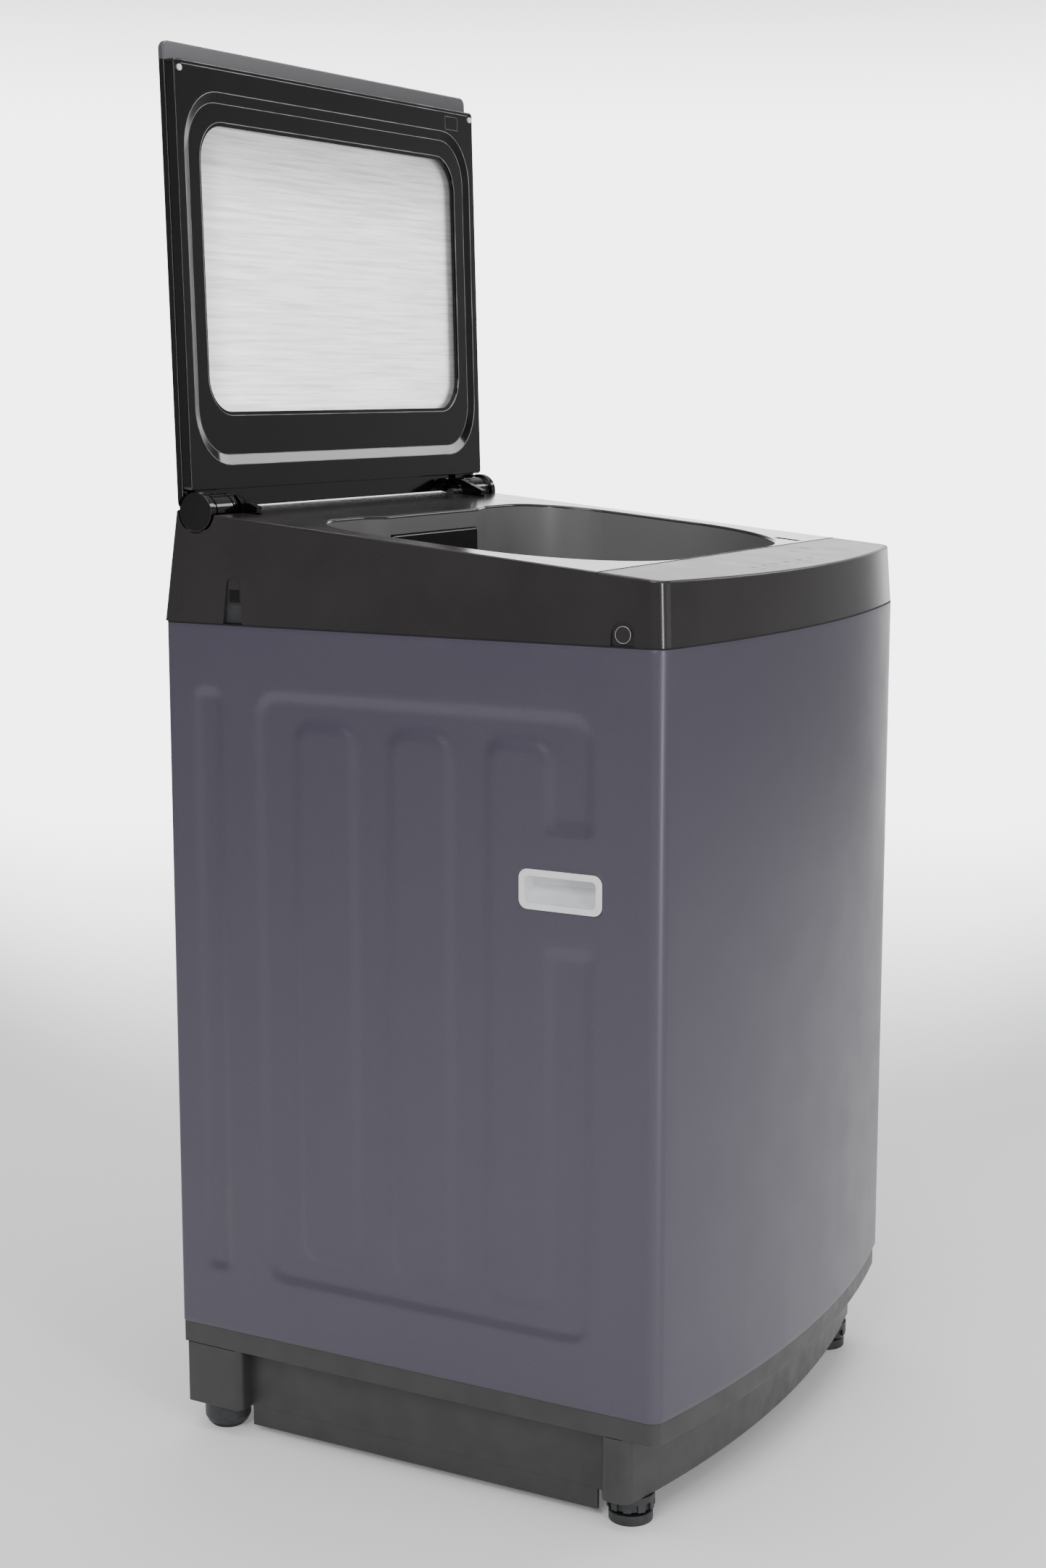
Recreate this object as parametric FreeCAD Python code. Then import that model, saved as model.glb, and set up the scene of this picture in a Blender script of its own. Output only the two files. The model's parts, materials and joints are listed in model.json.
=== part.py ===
import FreeCAD, Part
import math
import os

V = FreeCAD.Vector

# Top load washing machine.  Millimetres, +Z up, front towards -Y.
# Origin: middle of the footprint, on the floor.  The lid stands open at rest.

# ---- Overall size -------------------------------------------------------------
width = 600.0
side_depth = 575.0
front_bow = 34.0
foot_height = 30.0
base_height = 92.0
cabinet_height = 764.0
cover_height = 113.0
deck_slope = 5.34

# ---- Walls and clearances -----------------------------------------------------
sheet = 1.2
plastic = 3.0
base_wall = 3.5
fit_gap = 0.3
running_gap = 0.05
seam = 0.6

# ---- Cabinet ------------------------------------------------------------------
front_corner_radius = 16.0
rear_corner_radius = 5.0
cabinet_flange = 14.0
rear_flange = 30.0
rear_recess = 1.5
emboss_depth = 4.0
emboss_bevel = 8.0
emboss_margin_z = 65.0
frame_rear_inset = 112.0
frame_front_inset = 70.0
frame_radius = 28.0
channel_rear_inset = 35.0
channel_width = 39.0
rib_width = 56.0
rib_margin_z = 40.0
rib_rear_margin = 57.0
rib_count = 3
pocket_bottom = 468.0
pocket_height = 111.0

# ---- Side handles -------------------------------------------------------------
handle_length = 91.0
handle_height = 40.0
handle_depth = 24.0
handle_front_inset = 62.0
handle_rise = 503.0
handle_lip = 6.5
handle_proud = 1.5
handle_edge_radius = 1.0

# ---- Base and feet ------------------------------------------------------------
band_height = 24.0
base_inset = 3.0
base_edge_radius = 1.5
apron_inset = 32.0
base_rear_inset = 7.0
leg_front_length = 64.0
leg_rear_length = 76.0
skirt_inset = 24.0
skirt_floor_gap = 9.0
skirt_drop_notch = 12.0
spigot_height = 12.0
front_foot_inset_x = 41.0
front_foot_inset_y = 47.0
rear_foot_inset_x = 34.0
rear_foot_inset_y = 37.0
foot_pad_radius = 22.5
foot_pad_height = 11.0
foot_nut_radius = 24.5
foot_nut_height = 15.0
foot_nut_notches = 10
foot_stud_radius = 6.0
foot_stud_length = 38.0
rear_cup_radius = 25.0
rear_pad_radius = 20.0

# ---- Top cover ----------------------------------------------------------------
cover_taper_side = 7.0
cover_taper_front = 8.0
cover_taper_rear = 12.0
deck_edge_radius = 2.5
throat_side_margin = 40.0
throat_rear_inset = 148.5
throat_front_inset = 75.5
throat_front_radius = 158.0
throat_rear_radius = 85.0
throat_lobe = 10.0
throat_rim_radius = 2.5
throat_floor_gap = 14.0
panel_length = 69.5
panel_thickness = 2.5
cap_radius = 8.7
cap_front_inset = 42.5
cap_rise = 11.0
clip_rear_inset = 87.0
clip_width = 20.0
clip_height = 48.0
lock_slot_x = 212.0
lock_slot_width = 13.0
lock_slot_length = 31.0

# ---- Lid ----------------------------------------------------------------------
hinge_rear_inset = 39.0
hinge_rise = 0.8
lid_lean = 1.51
lid_side_gap = 3.5
lid_lip = 3.5
frame_end_inset = 18.0
frame_start = 21.0
frame_face = 1.2
frame_thickness = 11.0
lid_cover_thickness = 8.0
lid_skin = 2.5
lid_corner_radius = 9.0
lid_edge_radius = 3.0
lid_small_radius = 1.4
dish_edge_radius = 0.8
window_side_margin = 45.5
window_start = 101.0
window_end_margin = 60.0
window_radius = 37.0
window_lap = 9.0
glass_thickness = 4.0
dish_side_margin = 12.0
dish_start = 46.0
dish_end_margin = 27.0
dish_radius = 60.0
dish_bevel = 10.5
dish_depth = 3.5
bumper_radius = 3.2
bumper_height = 1.7
bumper_side_gap = 8.0
bumper_end_gap = 9.0
hinge_disc_radius = 20.0
hinge_disc_width = 8.0
barrel_radius = 17.0
barrel_length = 45.0
hinge_pin_radius = 5.0
stop_rib_width = 9.0
hinge_play = 3.0
stop_rib_reach = 38.0

# ---- Detergent drawer ---------------------------------------------------------
drawer_width = 182.0
drawer_height = 46.0
drawer_length = 92.0
drawer_drop = 21.0
drawer_wall = 2.2
drawer_proud = 3.0
drawer_gap = 0.8

# ---- Water inlet and drain ----------------------------------------------------
inlet_thread_radius = 13.05
inlet_spigot_length = 14.0
inlet_x = -165.0
inlet_drop = 52.0
pocket_half = 30.0
inlet_pocket_depth = 26.0
drain_radius = 16.0
drain_x = 150.0
drain_rise = 62.0

# ---- Tub, basket and suspension -----------------------------------------------
tub_side_gap = 33.0
tub_wall = 2.8
tub_bottom_z = 262.0
tub_top_gap = 66.0
tub_ring_width = 55.8
basket_gap = 14.0
basket_wall = 1.2
basket_floor_gap = 26.0
basket_floor = 12.0
balance_height = 40.0
balance_width = 38.0
rod_inset = 50.0
rod_radius = 4.0
rod_seat_radius = 15.0
lug_height = 16.0
lug_rise = 75.0
spring_radius = 10.5
spring_wire = 1.6
spring_turns = 7
spring_length = 60.0

# ---- Drive --------------------------------------------------------------------
plate_thickness = 4.0
plate_half_width = 48.0
plate_lip = 14.0
spin_tube_radius = 17.0
wash_shaft_radius = 8.0
bearing_radius = 31.0
bearing_width = 13.0
gearbox_radius = 62.0
gearbox_height = 96.0
pulley_radius = 84.0
motor_pulley_radius = 21.0
pulley_width = 18.0
belt_thickness = 5.0
belt_height = 11.0
motor_distance = 155.0
motor_radius = 58.0
motor_height = 78.0
pump_radius = 36.0
pump_gap = 15.5
pump_inset = 125.8
pulsator_radius = 168.0
pulsator_blades = 6

# ---- Worked out from the sizes above ------------------------------------------
half_width = width / 2.0
y_rear = (side_depth + front_bow) / 2.0
y_front = y_rear - side_depth
bow_radius = (half_width ** 2 + front_bow ** 2) / (2.0 * front_bow)
bow_centre_y = y_front - front_bow + bow_radius
z_cabinet = foot_height + base_height
z_cover = z_cabinet + cabinet_height
z_top = z_cover + cover_height
deck_angle = math.radians(deck_slope)
z_deck = z_top - hinge_rise
z_hinge = z_top
throat_rear_y = y_rear - throat_rear_inset
throat_front_y = y_front + throat_front_inset
panel_rear_y = y_front + panel_length
hinge_y = y_rear - hinge_rear_inset
hinge_half = half_width - 5.5
lid_width = width - 2.0 * lid_side_gap
lid_length = hinge_y - panel_rear_y + lid_lip
frame_length = lid_length - frame_end_inset
window_width = lid_width - 2.0 * window_side_margin
window_end = frame_length - window_end_margin
dish_width = lid_width - 2.0 * dish_side_margin
dish_end = frame_length - dish_end_margin
tub_radius = min(half_width, (side_depth + front_bow) / 2.0) - sheet - emboss_depth - tub_side_gap
tub_ring_opening = tub_radius - tub_ring_width
tub_top_z = z_cover - tub_top_gap
basket_radius = tub_radius - tub_wall - basket_gap
basket_bottom_z = tub_bottom_z + basket_floor_gap
balance_bottom_z = tub_top_z - balance_height - 8.0
rod_x = half_width - rod_inset
rod_y = -y_front - rod_inset + 4.0
lug_bottom_z = tub_bottom_z + lug_rise
plate_bottom_z = tub_bottom_z - plate_thickness
gearbox_bottom_z = plate_bottom_z - gearbox_height
pulley_bottom_z = gearbox_bottom_z - 12.0 - pulley_width

node_count = 0


def save(name, *solids):
    """Write one node, made of one solid or a group of separate solids."""
    shape = solids[0] if len(solids) == 1 else Part.makeCompound(list(solids))
    if not shape.isValid():
        raise ValueError(name + " is not a valid shape")
    shape.exportStep("parts/" + name + ".step")
    global node_count
    node_count += 1
    print(name, len(shape.Solids), round(shape.Volume / 1000.0, 1))


# ---- Basic shapes -------------------------------------------------------------
def block(x0, x1, y0, y1, z0, z1):
    return Part.makeBox(x1 - x0, y1 - y0, z1 - z0, V(x0, y0, z0))


def disc(radius, z0, z1, x=0.0, y=0.0):
    return Part.makeCylinder(radius, z1 - z0, V(x, y, z0))


def ring(outer, inner, z0, z1, x=0.0, y=0.0):
    return disc(outer, z0, z1, x, y).cut(disc(inner, z0 - 1.0, z1 + 1.0, x, y))


def rod_along_x(radius, x0, x1, y, z):
    return Part.makeCylinder(radius, x1 - x0, V(x0, y, z), V(1, 0, 0))


def turned(points):
    """A solid turned about Z from (radius, height) points."""
    wire = Part.makePolygon([V(r, 0, z) for r, z in points] + [V(points[0][0], 0, points[0][1])])
    return Part.Face(wire).revolve(V(0, 0, 0), V(0, 0, 1), 360)


def fuse(first, *others):
    return first.fuse(list(others)).removeSplitter()


def mirrored(shape):
    return shape.mirror(V(0, 0, 0), V(1, 0, 0))


def both_sides(shape):
    return [shape, mirrored(shape)]


def rounded_outline(corners, z=0.0):
    """Closed wire through (x, y, radius) corners, each rounded to its radius."""
    edges = []
    starts = []
    ends = []
    count = len(corners)
    for index in range(count):
        x, y, radius = corners[index]
        corner = V(x, y, z)
        before = V(*corners[index - 1][:2], z).sub(corner).normalize()
        after = V(*corners[(index + 1) % count][:2], z).sub(corner).normalize()
        half = before.getAngle(after) / 2.0
        reach = radius / math.tan(half)
        towards = before.add(after).normalize()
        centre = corner.add(towards * (radius / math.sin(half)))
        start = corner.add(before * reach)
        end = corner.add(after * reach)
        if radius > 0.0:
            edges.append(Part.Arc(start, centre.sub(towards * radius), end).toShape())
        starts.append(start)
        ends.append(end)
    for index in range(count):
        begin = ends[index]
        finish = starts[(index + 1) % count]
        if begin.distanceToPoint(finish) > 1e-6:
            edges.append(Part.LineSegment(begin, finish).toShape())
    return Part.Wire(Part.__sortEdges__(edges))


def rounded_slab(corners, z0, z1):
    return Part.Face(rounded_outline(corners, z0)).extrude(V(0, 0, z1 - z0))


def rect(u0, u1, v0, v1, radius):
    return [(u0, v0, radius), (u1, v0, radius), (u1, v1, radius), (u0, v1, radius)]


def grown(u0, u1, v0, v1, radius, by):
    return rect(u0 - by, u1 + by, v0 - by, v1 + by, radius + by)


def bevelled(u0, u1, v0, v1, radius, depth, bevel):
    """A rounded rectangle at height 0 that shrinks by the bevel at the depth."""
    top = rounded_outline(rect(u0, u1, v0, v1, radius), 0.0)
    bottom = rounded_outline(grown(u0, u1, v0, v1, radius, -bevel), depth)
    return Part.makeLoft([top, bottom], True, True)


def plan_outline(side_inset, front_inset, rear_inset, front_radius, rear_radius, z):
    """The footprint: straight sides and rear, bowed front, rounded corners."""
    side = half_width - side_inset
    rear = y_rear - rear_inset
    bow = bow_radius - front_inset
    fillet_x = side - front_radius
    fillet_y = bow_centre_y - math.sqrt((bow - front_radius) ** 2 - fillet_x ** 2)
    scale = bow / (bow - front_radius)
    touch_x = fillet_x * scale
    touch_y = bow_centre_y + (fillet_y - bow_centre_y) * scale
    middle = V(fillet_x + side, fillet_y + touch_y, 0) * 0.5
    out = V(side + touch_x - 2.0 * fillet_x, touch_y - fillet_y, 0).normalize() * front_radius
    front_mid = V(fillet_x, fillet_y, z).add(out)
    rear_mid_step = rear_radius * (1.0 - math.sqrt(0.5))
    points = [
        (V(side, fillet_y, z), None),
        (V(side, rear - rear_radius, z), None),
        (V(side - rear_radius, rear, z), V(side - rear_mid_step, rear - rear_mid_step, z)),
        (V(rear_radius - side, rear, z), None),
        (V(-side, rear - rear_radius, z), V(rear_mid_step - side, rear - rear_mid_step, z)),
        (V(-side, fillet_y, z), None),
        (V(-touch_x, touch_y, z), V(-front_mid.x, front_mid.y, z)),
        (V(touch_x, touch_y, z), V(0, bow_centre_y - bow, z)),
        (V(side, fillet_y, z), front_mid),
    ]
    edges = []
    for (start, _), (end, through) in zip(points, points[1:]):
        if through is None:
            edges.append(Part.LineSegment(start, end).toShape())
        else:
            edges.append(Part.Arc(start, through, end).toShape())
    return Part.Wire(edges)


def plan_prism(inset, z0, z1, front_inset=None, rear_inset=None):
    front = inset if front_inset is None else front_inset
    rear = inset if rear_inset is None else rear_inset
    front_radius = max(front_corner_radius - inset, 2.0)
    rear_radius = max(rear_corner_radius - inset, 1.0)
    outline = plan_outline(inset, front, rear, front_radius, rear_radius, z0)
    return Part.Face(outline).extrude(V(0, 0, z1 - z0))


def vertical_edges(shape, x, y, reach=1.0):
    """The upright straight edges of a shape near x, y."""
    found = []
    for edge in shape.Edges:
        if len(edge.Vertexes) != 2:
            continue
        low, high = edge.Vertexes[0].Point, edge.Vertexes[1].Point
        upright = abs(low.x - high.x) < 0.01 and abs(low.y - high.y) < 0.01
        if upright and abs(low.x - x) < reach and abs(low.y - y) < reach:
            found.append(edge)
    return found


# ---- Placing pieces -----------------------------------------------------------
def on_side(shape):
    """Turn (y, z, depth inwards) drawing into the left side wall."""
    turn = FreeCAD.Placement(V(-half_width, 0, 0), FreeCAD.Rotation(V(1, 1, 1), 120))
    return shape.transformGeometry(turn.toMatrix())


def on_deck(shape):
    """Turn (x, distance behind the hinge line, height over the deck) into place."""
    moved = shape.copy()
    moved.rotate(V(0, 0, 0), V(1, 0, 0), deck_slope)
    moved.translate(V(0, hinge_y, z_deck))
    return moved


def on_lid(shape):
    """Turn (x, distance from the hinge, height over the inner face) into the open lid."""
    moved = shape.copy()
    moved.rotate(V(0, 0, 0), V(1, 0, 0), 90.0 - lid_lean)
    moved.translate(V(0, hinge_y, z_hinge))
    return moved


def deck_z(y):
    return z_deck + (y - hinge_y) * math.tan(deck_angle)


# ---- Cabinet ------------------------------------------------------------------
def side_emboss():
    """The pressed pattern of one side wall, drawn as (y, z, depth)."""
    low = z_cabinet + emboss_margin_z
    high = z_cover - emboss_margin_z
    channel_y = y_rear - channel_rear_inset
    channel = bevelled(channel_y - channel_width, channel_y, low, high, 14.0,
                       emboss_depth, emboss_bevel)
    rear = y_rear - frame_rear_inset
    front = y_front + frame_front_inset
    field = bevelled(front, rear, low, high, frame_radius, emboss_depth, emboss_bevel)
    pitch = (rear - rib_rear_margin - front) / rib_count
    for index in range(rib_count):
        rib_rear = rear - rib_rear_margin - index * pitch
        rib = bevelled(rib_rear - rib_width, rib_rear, low + rib_margin_z, high - rib_margin_z,
                       12.0, emboss_depth, -emboss_bevel)
        field = field.cut(rib)
    pocket_z = z_cabinet + pocket_bottom
    last_rib_rear = rear - rib_rear_margin - (rib_count - 1) * pitch
    pad = bevelled(front - 30.0, last_rib_rear - 4.0, pocket_z, pocket_z + pocket_height,
                   14.0, emboss_depth, -emboss_bevel)
    return channel, field.cut(pad)


def handle_hole(clearance):
    y0 = y_front + handle_front_inset + handle_lip - clearance
    y1 = y_front + handle_front_inset + handle_length - handle_lip + clearance
    z0 = z_cabinet + handle_rise + handle_lip - clearance
    z1 = z_cabinet + handle_rise + handle_height - handle_lip + clearance
    return y0, y1, z0, z1


def cabinet_shell():
    flange_y = y_rear - rear_recess - sheet
    outer = plan_prism(0.0, z_cabinet, z_cover, rear_inset=rear_recess + sheet)
    inner = plan_prism(sheet, z_cabinet - 1.0, z_cover - sheet, rear_inset=rear_recess + 2.0 * sheet)
    top_hole = plan_prism(cabinet_flange, z_cover - 5.0, z_cover + 1.0)
    for press in side_emboss():
        outer_press = on_side(press)
        inner_press = outer_press.copy()
        inner_press.translate(V(sheet, 0, 0))
        for shape in both_sides(outer_press):
            outer = outer.cut(shape)
        for shape in both_sides(inner_press):
            inner = inner.cut(shape)
    shell = outer.cut(inner).cut(top_hole)
    opening = half_width - rear_flange
    shell = shell.cut(block(-opening, opening, flange_y - 10.0, flange_y + 10.0,
                            z_cabinet - 1.0, z_cover - rear_flange))
    y0, y1, z0, z1 = handle_hole(fit_gap + plastic)
    hole = on_side(rounded_slab(rect(y0, y1, z0, z1, 4.0), -5.0, 30.0))
    for shape in both_sides(hole):
        shell = shell.cut(shape)
    for x, z in rear_screw_places():
        shell = shell.cut(Part.makeCylinder(2.0, 10.0, V(x, flange_y - 5.0, z), V(0, 1, 0)))
    return shell


def rear_screw_places():
    x = half_width - rear_flange / 2.0
    heights = [z_cabinet + 40.0, z_cabinet + cabinet_height / 2.0, z_cover - rear_flange / 2.0]
    return [(side * x, z) for side in (-1, 1) for z in heights]


def rear_cover():
    half = half_width - rear_corner_radius - 1.0
    face = y_rear - rear_recess
    panel = block(-half, half, face - sheet, face, z_cabinet + 2.0, z_cover - 2.0)
    low = z_cabinet + 70.0
    high = z_cover - 70.0
    step = (2.0 * half - 100.0) / 3.0
    for index in range(3):
        left = -half + 50.0 + index * step + 15.0
        press = bevelled(left, left + step - 30.0, low, high, 20.0, 5.0, 8.0)
        press.rotate(V(0, 0, 0), V(1, 0, 0), 90.0)
        press.translate(V(0, face, 0))
        skin = press.copy()
        skin.translate(V(0, -sheet, 0))
        panel = panel.fuse(skin).cut(press)
    for x, z in rear_screw_places():
        panel = panel.cut(Part.makeCylinder(2.6, 10.0, V(x, y_rear - 5.0, z), V(0, 1, 0)))
    return panel.removeSplitter()


def rear_screws():
    screws = []
    for x, z in rear_screw_places():
        face = y_rear - rear_recess
        shank = Part.makeCylinder(1.95, 9.5, V(x, face - 9.0, z), V(0, 1, 0))
        head = Part.makeCylinder(4.2, rear_recess, V(x, face, z), V(0, 1, 0))
        screws.append(fuse(shank, head))
    return screws


def side_handle():
    """A grip cup for the left wall: lip, deep upper pocket and a sloping floor."""
    y0, y1, z0, z1 = handle_hole(0.0)
    lip = rounded_slab(grown(y0, y1, z0, z1, 3.0, handle_lip), -handle_proud, 0.0)
    cup = rounded_slab(grown(y0, y1, z0, z1, 2.0, plastic), -0.5, handle_depth)
    pocket = rounded_slab(rect(y0, y1, z0, z1, 5.0), -handle_proud - 1.0, handle_depth - plastic)
    slope = Part.makePolygon([V(y0 - 1, z0, 4.0), V(y0 - 1, z0, handle_depth),
                              V(y0 - 1, z1 - 9.0, handle_depth), V(y0 - 1, z0, 4.0)])
    wedge = Part.Face(slope).extrude(V(y1 - y0 + 2.0, 0, 0))
    rim = [edge for edge in lip.Edges if abs(edge.BoundBox.ZMax + handle_proud) < 0.01]
    lip = lip.makeFillet(handle_edge_radius, rim)
    return on_side(fuse(lip, cup).cut(pocket.cut(wedge)))


# ---- Base ---------------------------------------------------------------------
def foot_places():
    front = (half_width - front_foot_inset_x, y_front + front_foot_inset_y)
    rear = (half_width - rear_foot_inset_x, y_rear - rear_foot_inset_y)
    return front, rear


def side_bay(wall):
    """The recess between the legs of one side, and of the rear, grown by a wall."""
    front = y_front + leg_front_length - wall
    rear = y_rear - leg_rear_length + wall
    reach = skirt_inset + wall
    low = foot_height - 40.0
    high = z_cabinet - band_height + wall
    left = block(-half_width - 5.0, -half_width + reach, front, rear, low, high)
    back_x = half_width - leg_rear_length - wall
    back = block(-back_x, back_x, y_rear - reach, y_rear + 5.0, low, high)
    return left, mirrored(left), back


def base():
    band_z = z_cabinet - band_height
    body = plan_prism(base_inset, foot_height, band_z, apron_inset, base_rear_inset)
    for bay in side_bay(0.0):
        body = body.cut(bay)
    side = half_width - base_inset
    rear = y_rear - leg_rear_length
    soft = []
    for sign in (-1, 1):
        soft += vertical_edges(body, sign * side, rear)
        soft += vertical_edges(body, sign * side, y_front + leg_front_length)
    body = body.makeFillet(9.0, soft)
    under = [edge for edge in body.Edges if abs(edge.BoundBox.ZMax - foot_height) < 0.01]
    body = body.makeFillet(base_edge_radius, under)
    band = plan_prism(base_inset, band_z, z_cabinet)
    band_rim = [edge for edge in band.Edges if abs(edge.BoundBox.ZMax - band_z) < 0.01]
    band = band.makeFillet(base_edge_radius, band_rim)
    spigot = plan_prism(sheet + fit_gap, z_cabinet, z_cabinet + spigot_height,
                        rear_inset=rear_recess + 2.0 * sheet + fit_gap)
    skirt_front = y_front + leg_front_length
    drop = block(-half_width + skirt_inset, -half_width + skirt_inset + base_wall,
                 skirt_front + skirt_drop_notch, rear - 2.0, skirt_floor_gap, foot_height + 1.0)
    cavity = plan_prism(base_inset + base_wall, foot_height + base_wall, band_z + 1.0,
                        apron_inset + base_wall, base_rear_inset + base_wall)
    for bay in side_bay(base_wall):
        cavity = cavity.cut(bay)
    upper = plan_prism(base_inset + base_wall, band_z + base_wall, z_cabinet + spigot_height + 1.0)
    middle = plan_prism(58.0, foot_height - 2.0, band_z + base_wall + 1.0, apron_inset + 40.0)
    shell = fuse(body, band, spigot).cut(cavity).cut(upper).cut(middle)
    shell = fuse(shell, *both_sides(drop))
    for index, (x, y) in enumerate(foot_places()):
        for sign in (-1, 1):
            shell = shell.fuse(disc(14.0, foot_height + 0.5, foot_height + 32.0, sign * x, y))
            hole = foot_stud_radius + fit_gap if index == 0 else 3.0
            shell = shell.cut(disc(hole, 0.0, foot_height + foot_stud_length, sign * x, y))
    face = y_rear - skirt_inset
    spout = Part.makeCylinder(drain_radius + 3.0, 12.0, V(drain_x, face - 12.0, drain_rise),
                              V(0, 1, 0))
    bore = Part.makeCylinder(drain_radius + fit_gap, 60.0, V(drain_x, face - 30.0, drain_rise),
                             V(0, 1, 0))
    return shell.fuse(spout).cut(bore).removeSplitter()


def front_foot(x, y):
    pad = disc(foot_pad_radius, 0.0, foot_pad_height, x, y)
    rims = [edge for edge in pad.Edges if edge.Closed]
    pad = pad.makeFillet(1.5, rims)
    neck = disc(14.0, foot_pad_height - 0.5, foot_pad_height + 2.5, x, y)
    stud = disc(foot_stud_radius, foot_pad_height, foot_height + foot_stud_length - 6.0, x, y)
    return fuse(pad, neck, stud)


def foot_nut(x, y):
    """A castellated lock nut, screwed up against the leg."""
    bottom = foot_height - foot_nut_height
    nut = ring(foot_nut_radius, foot_stud_radius + running_gap, bottom, foot_height, x, y)
    for index in range(foot_nut_notches):
        angle = 360.0 * index / foot_nut_notches
        notch = block(foot_nut_radius - 3.0, foot_nut_radius + 2.0, -3.5, 3.5,
                      bottom - 1.0, bottom + foot_nut_height * 0.55)
        notch.rotate(V(0, 0, 0), V(0, 0, 1), angle)
        notch.translate(V(x, y, 0))
        nut = nut.cut(notch)
    return nut.cut(disc(17.0, bottom - 1.0, bottom + 3.0, x, y))


def rear_foot_cup(x, y):
    cup = turned([(3.2, foot_height), (3.2, foot_height - 5.0), (rear_pad_radius + 0.3, 14.0),
                  (rear_pad_radius + 0.3, 5.0), (rear_cup_radius - 3.0, 5.0),
                  (rear_cup_radius, 11.0), (rear_cup_radius, foot_height)])
    cup.translate(V(x, y, 0))
    return cup


def rear_foot_pad(x, y):
    rim = rear_pad_radius
    pad = turned([(0.0, 0.0), (rim - 3.0, 0.0), (rim, 3.0), (rim, 14.0), (2.9, 24.7),
                  (2.9, foot_height + 18.0), (0.0, foot_height + 18.0)])
    pad.translate(V(x, y, 0))
    return pad


# ---- Top cover ----------------------------------------------------------------
def cover_loft(inset):
    """The outside of the top cover, drawn in to its top, grown inwards by an inset."""
    reach = cover_height + 40.0
    share = reach / cover_height
    low = plan_outline(0.4 + inset, 0.4 + inset, 0.4 + inset, front_corner_radius, 4.0, z_cover)
    high = plan_outline(0.4 + inset + cover_taper_side * share,
                        0.4 + inset + cover_taper_front * share,
                        0.4 + inset + cover_taper_rear * share, front_corner_radius, 4.0,
                        z_cover + reach)
    return Part.makeLoft([low, high], True, True)


def over_deck(height):
    """Everything above the deck plane, raised by a height."""
    reach = 2.0 * side_depth
    return on_deck(block(-width, width, -reach, reach, height, height + 500.0))


def throat_corners(grow):
    side = half_width - throat_side_margin + grow
    rear = throat_rear_y + grow
    lobe = rear + throat_lobe
    front = throat_front_y - grow
    inner = drawer_width / 2.0 + 6.0
    outer = inner + 34.0
    rear_radius = throat_rear_radius + grow
    return [(-side, front, throat_front_radius + grow), (side, front, throat_front_radius + grow),
            (side, lobe, rear_radius), (outer, lobe, 45.0 - grow), (inner, rear, 45.0 + grow),
            (-inner, rear, 45.0 + grow), (-outer, lobe, 45.0 - grow), (-side, lobe, rear_radius)]


def in_throat(point):
    side = half_width - throat_side_margin + 1.0
    return abs(point.x) < side and throat_front_y - 1.0 < point.y < throat_rear_y + throat_lobe + 1.0


def drawer_box(grow):
    """The space of the detergent drawer behind its front, grown by a gap or a wall."""
    top = deck_z(throat_rear_y) - drawer_drop
    half = drawer_width / 2.0
    return (-half - grow, half + grow, throat_rear_y + plastic - 1.0,
            throat_rear_y + drawer_length + grow, top - drawer_height - grow, top + grow)


def hinge_well():
    """Room for one hinge: disc and barrel, and the stop rib's swing."""
    inner = -hinge_half + hinge_disc_width + barrel_length + 1.5
    end = inner + hinge_play + stop_rib_width
    well = rod_along_x(hinge_disc_radius + 2.5, -half_width - 5.0, inner, hinge_y, z_hinge)
    swing = rod_along_x(stop_rib_reach + 2.0, inner - 0.5, end, hinge_y, z_hinge)
    return well, swing, end


def cover_outside():
    """The outside of cover and panel together, with its top edge rounded over."""
    outside = cover_loft(0.0).cut(over_deck(0.0))
    return outside.makeFillet(deck_edge_radius, deck_edges(outside))


def deck_edges(shape):
    """The edges of a shape that lie in the deck plane."""
    found = []
    for edge in shape.Edges:
        points = edge.discretize(5)
        if all(abs(point.z - deck_z(point.y)) < 0.01 for point in points):
            found.append(edge)
    return found


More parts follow.
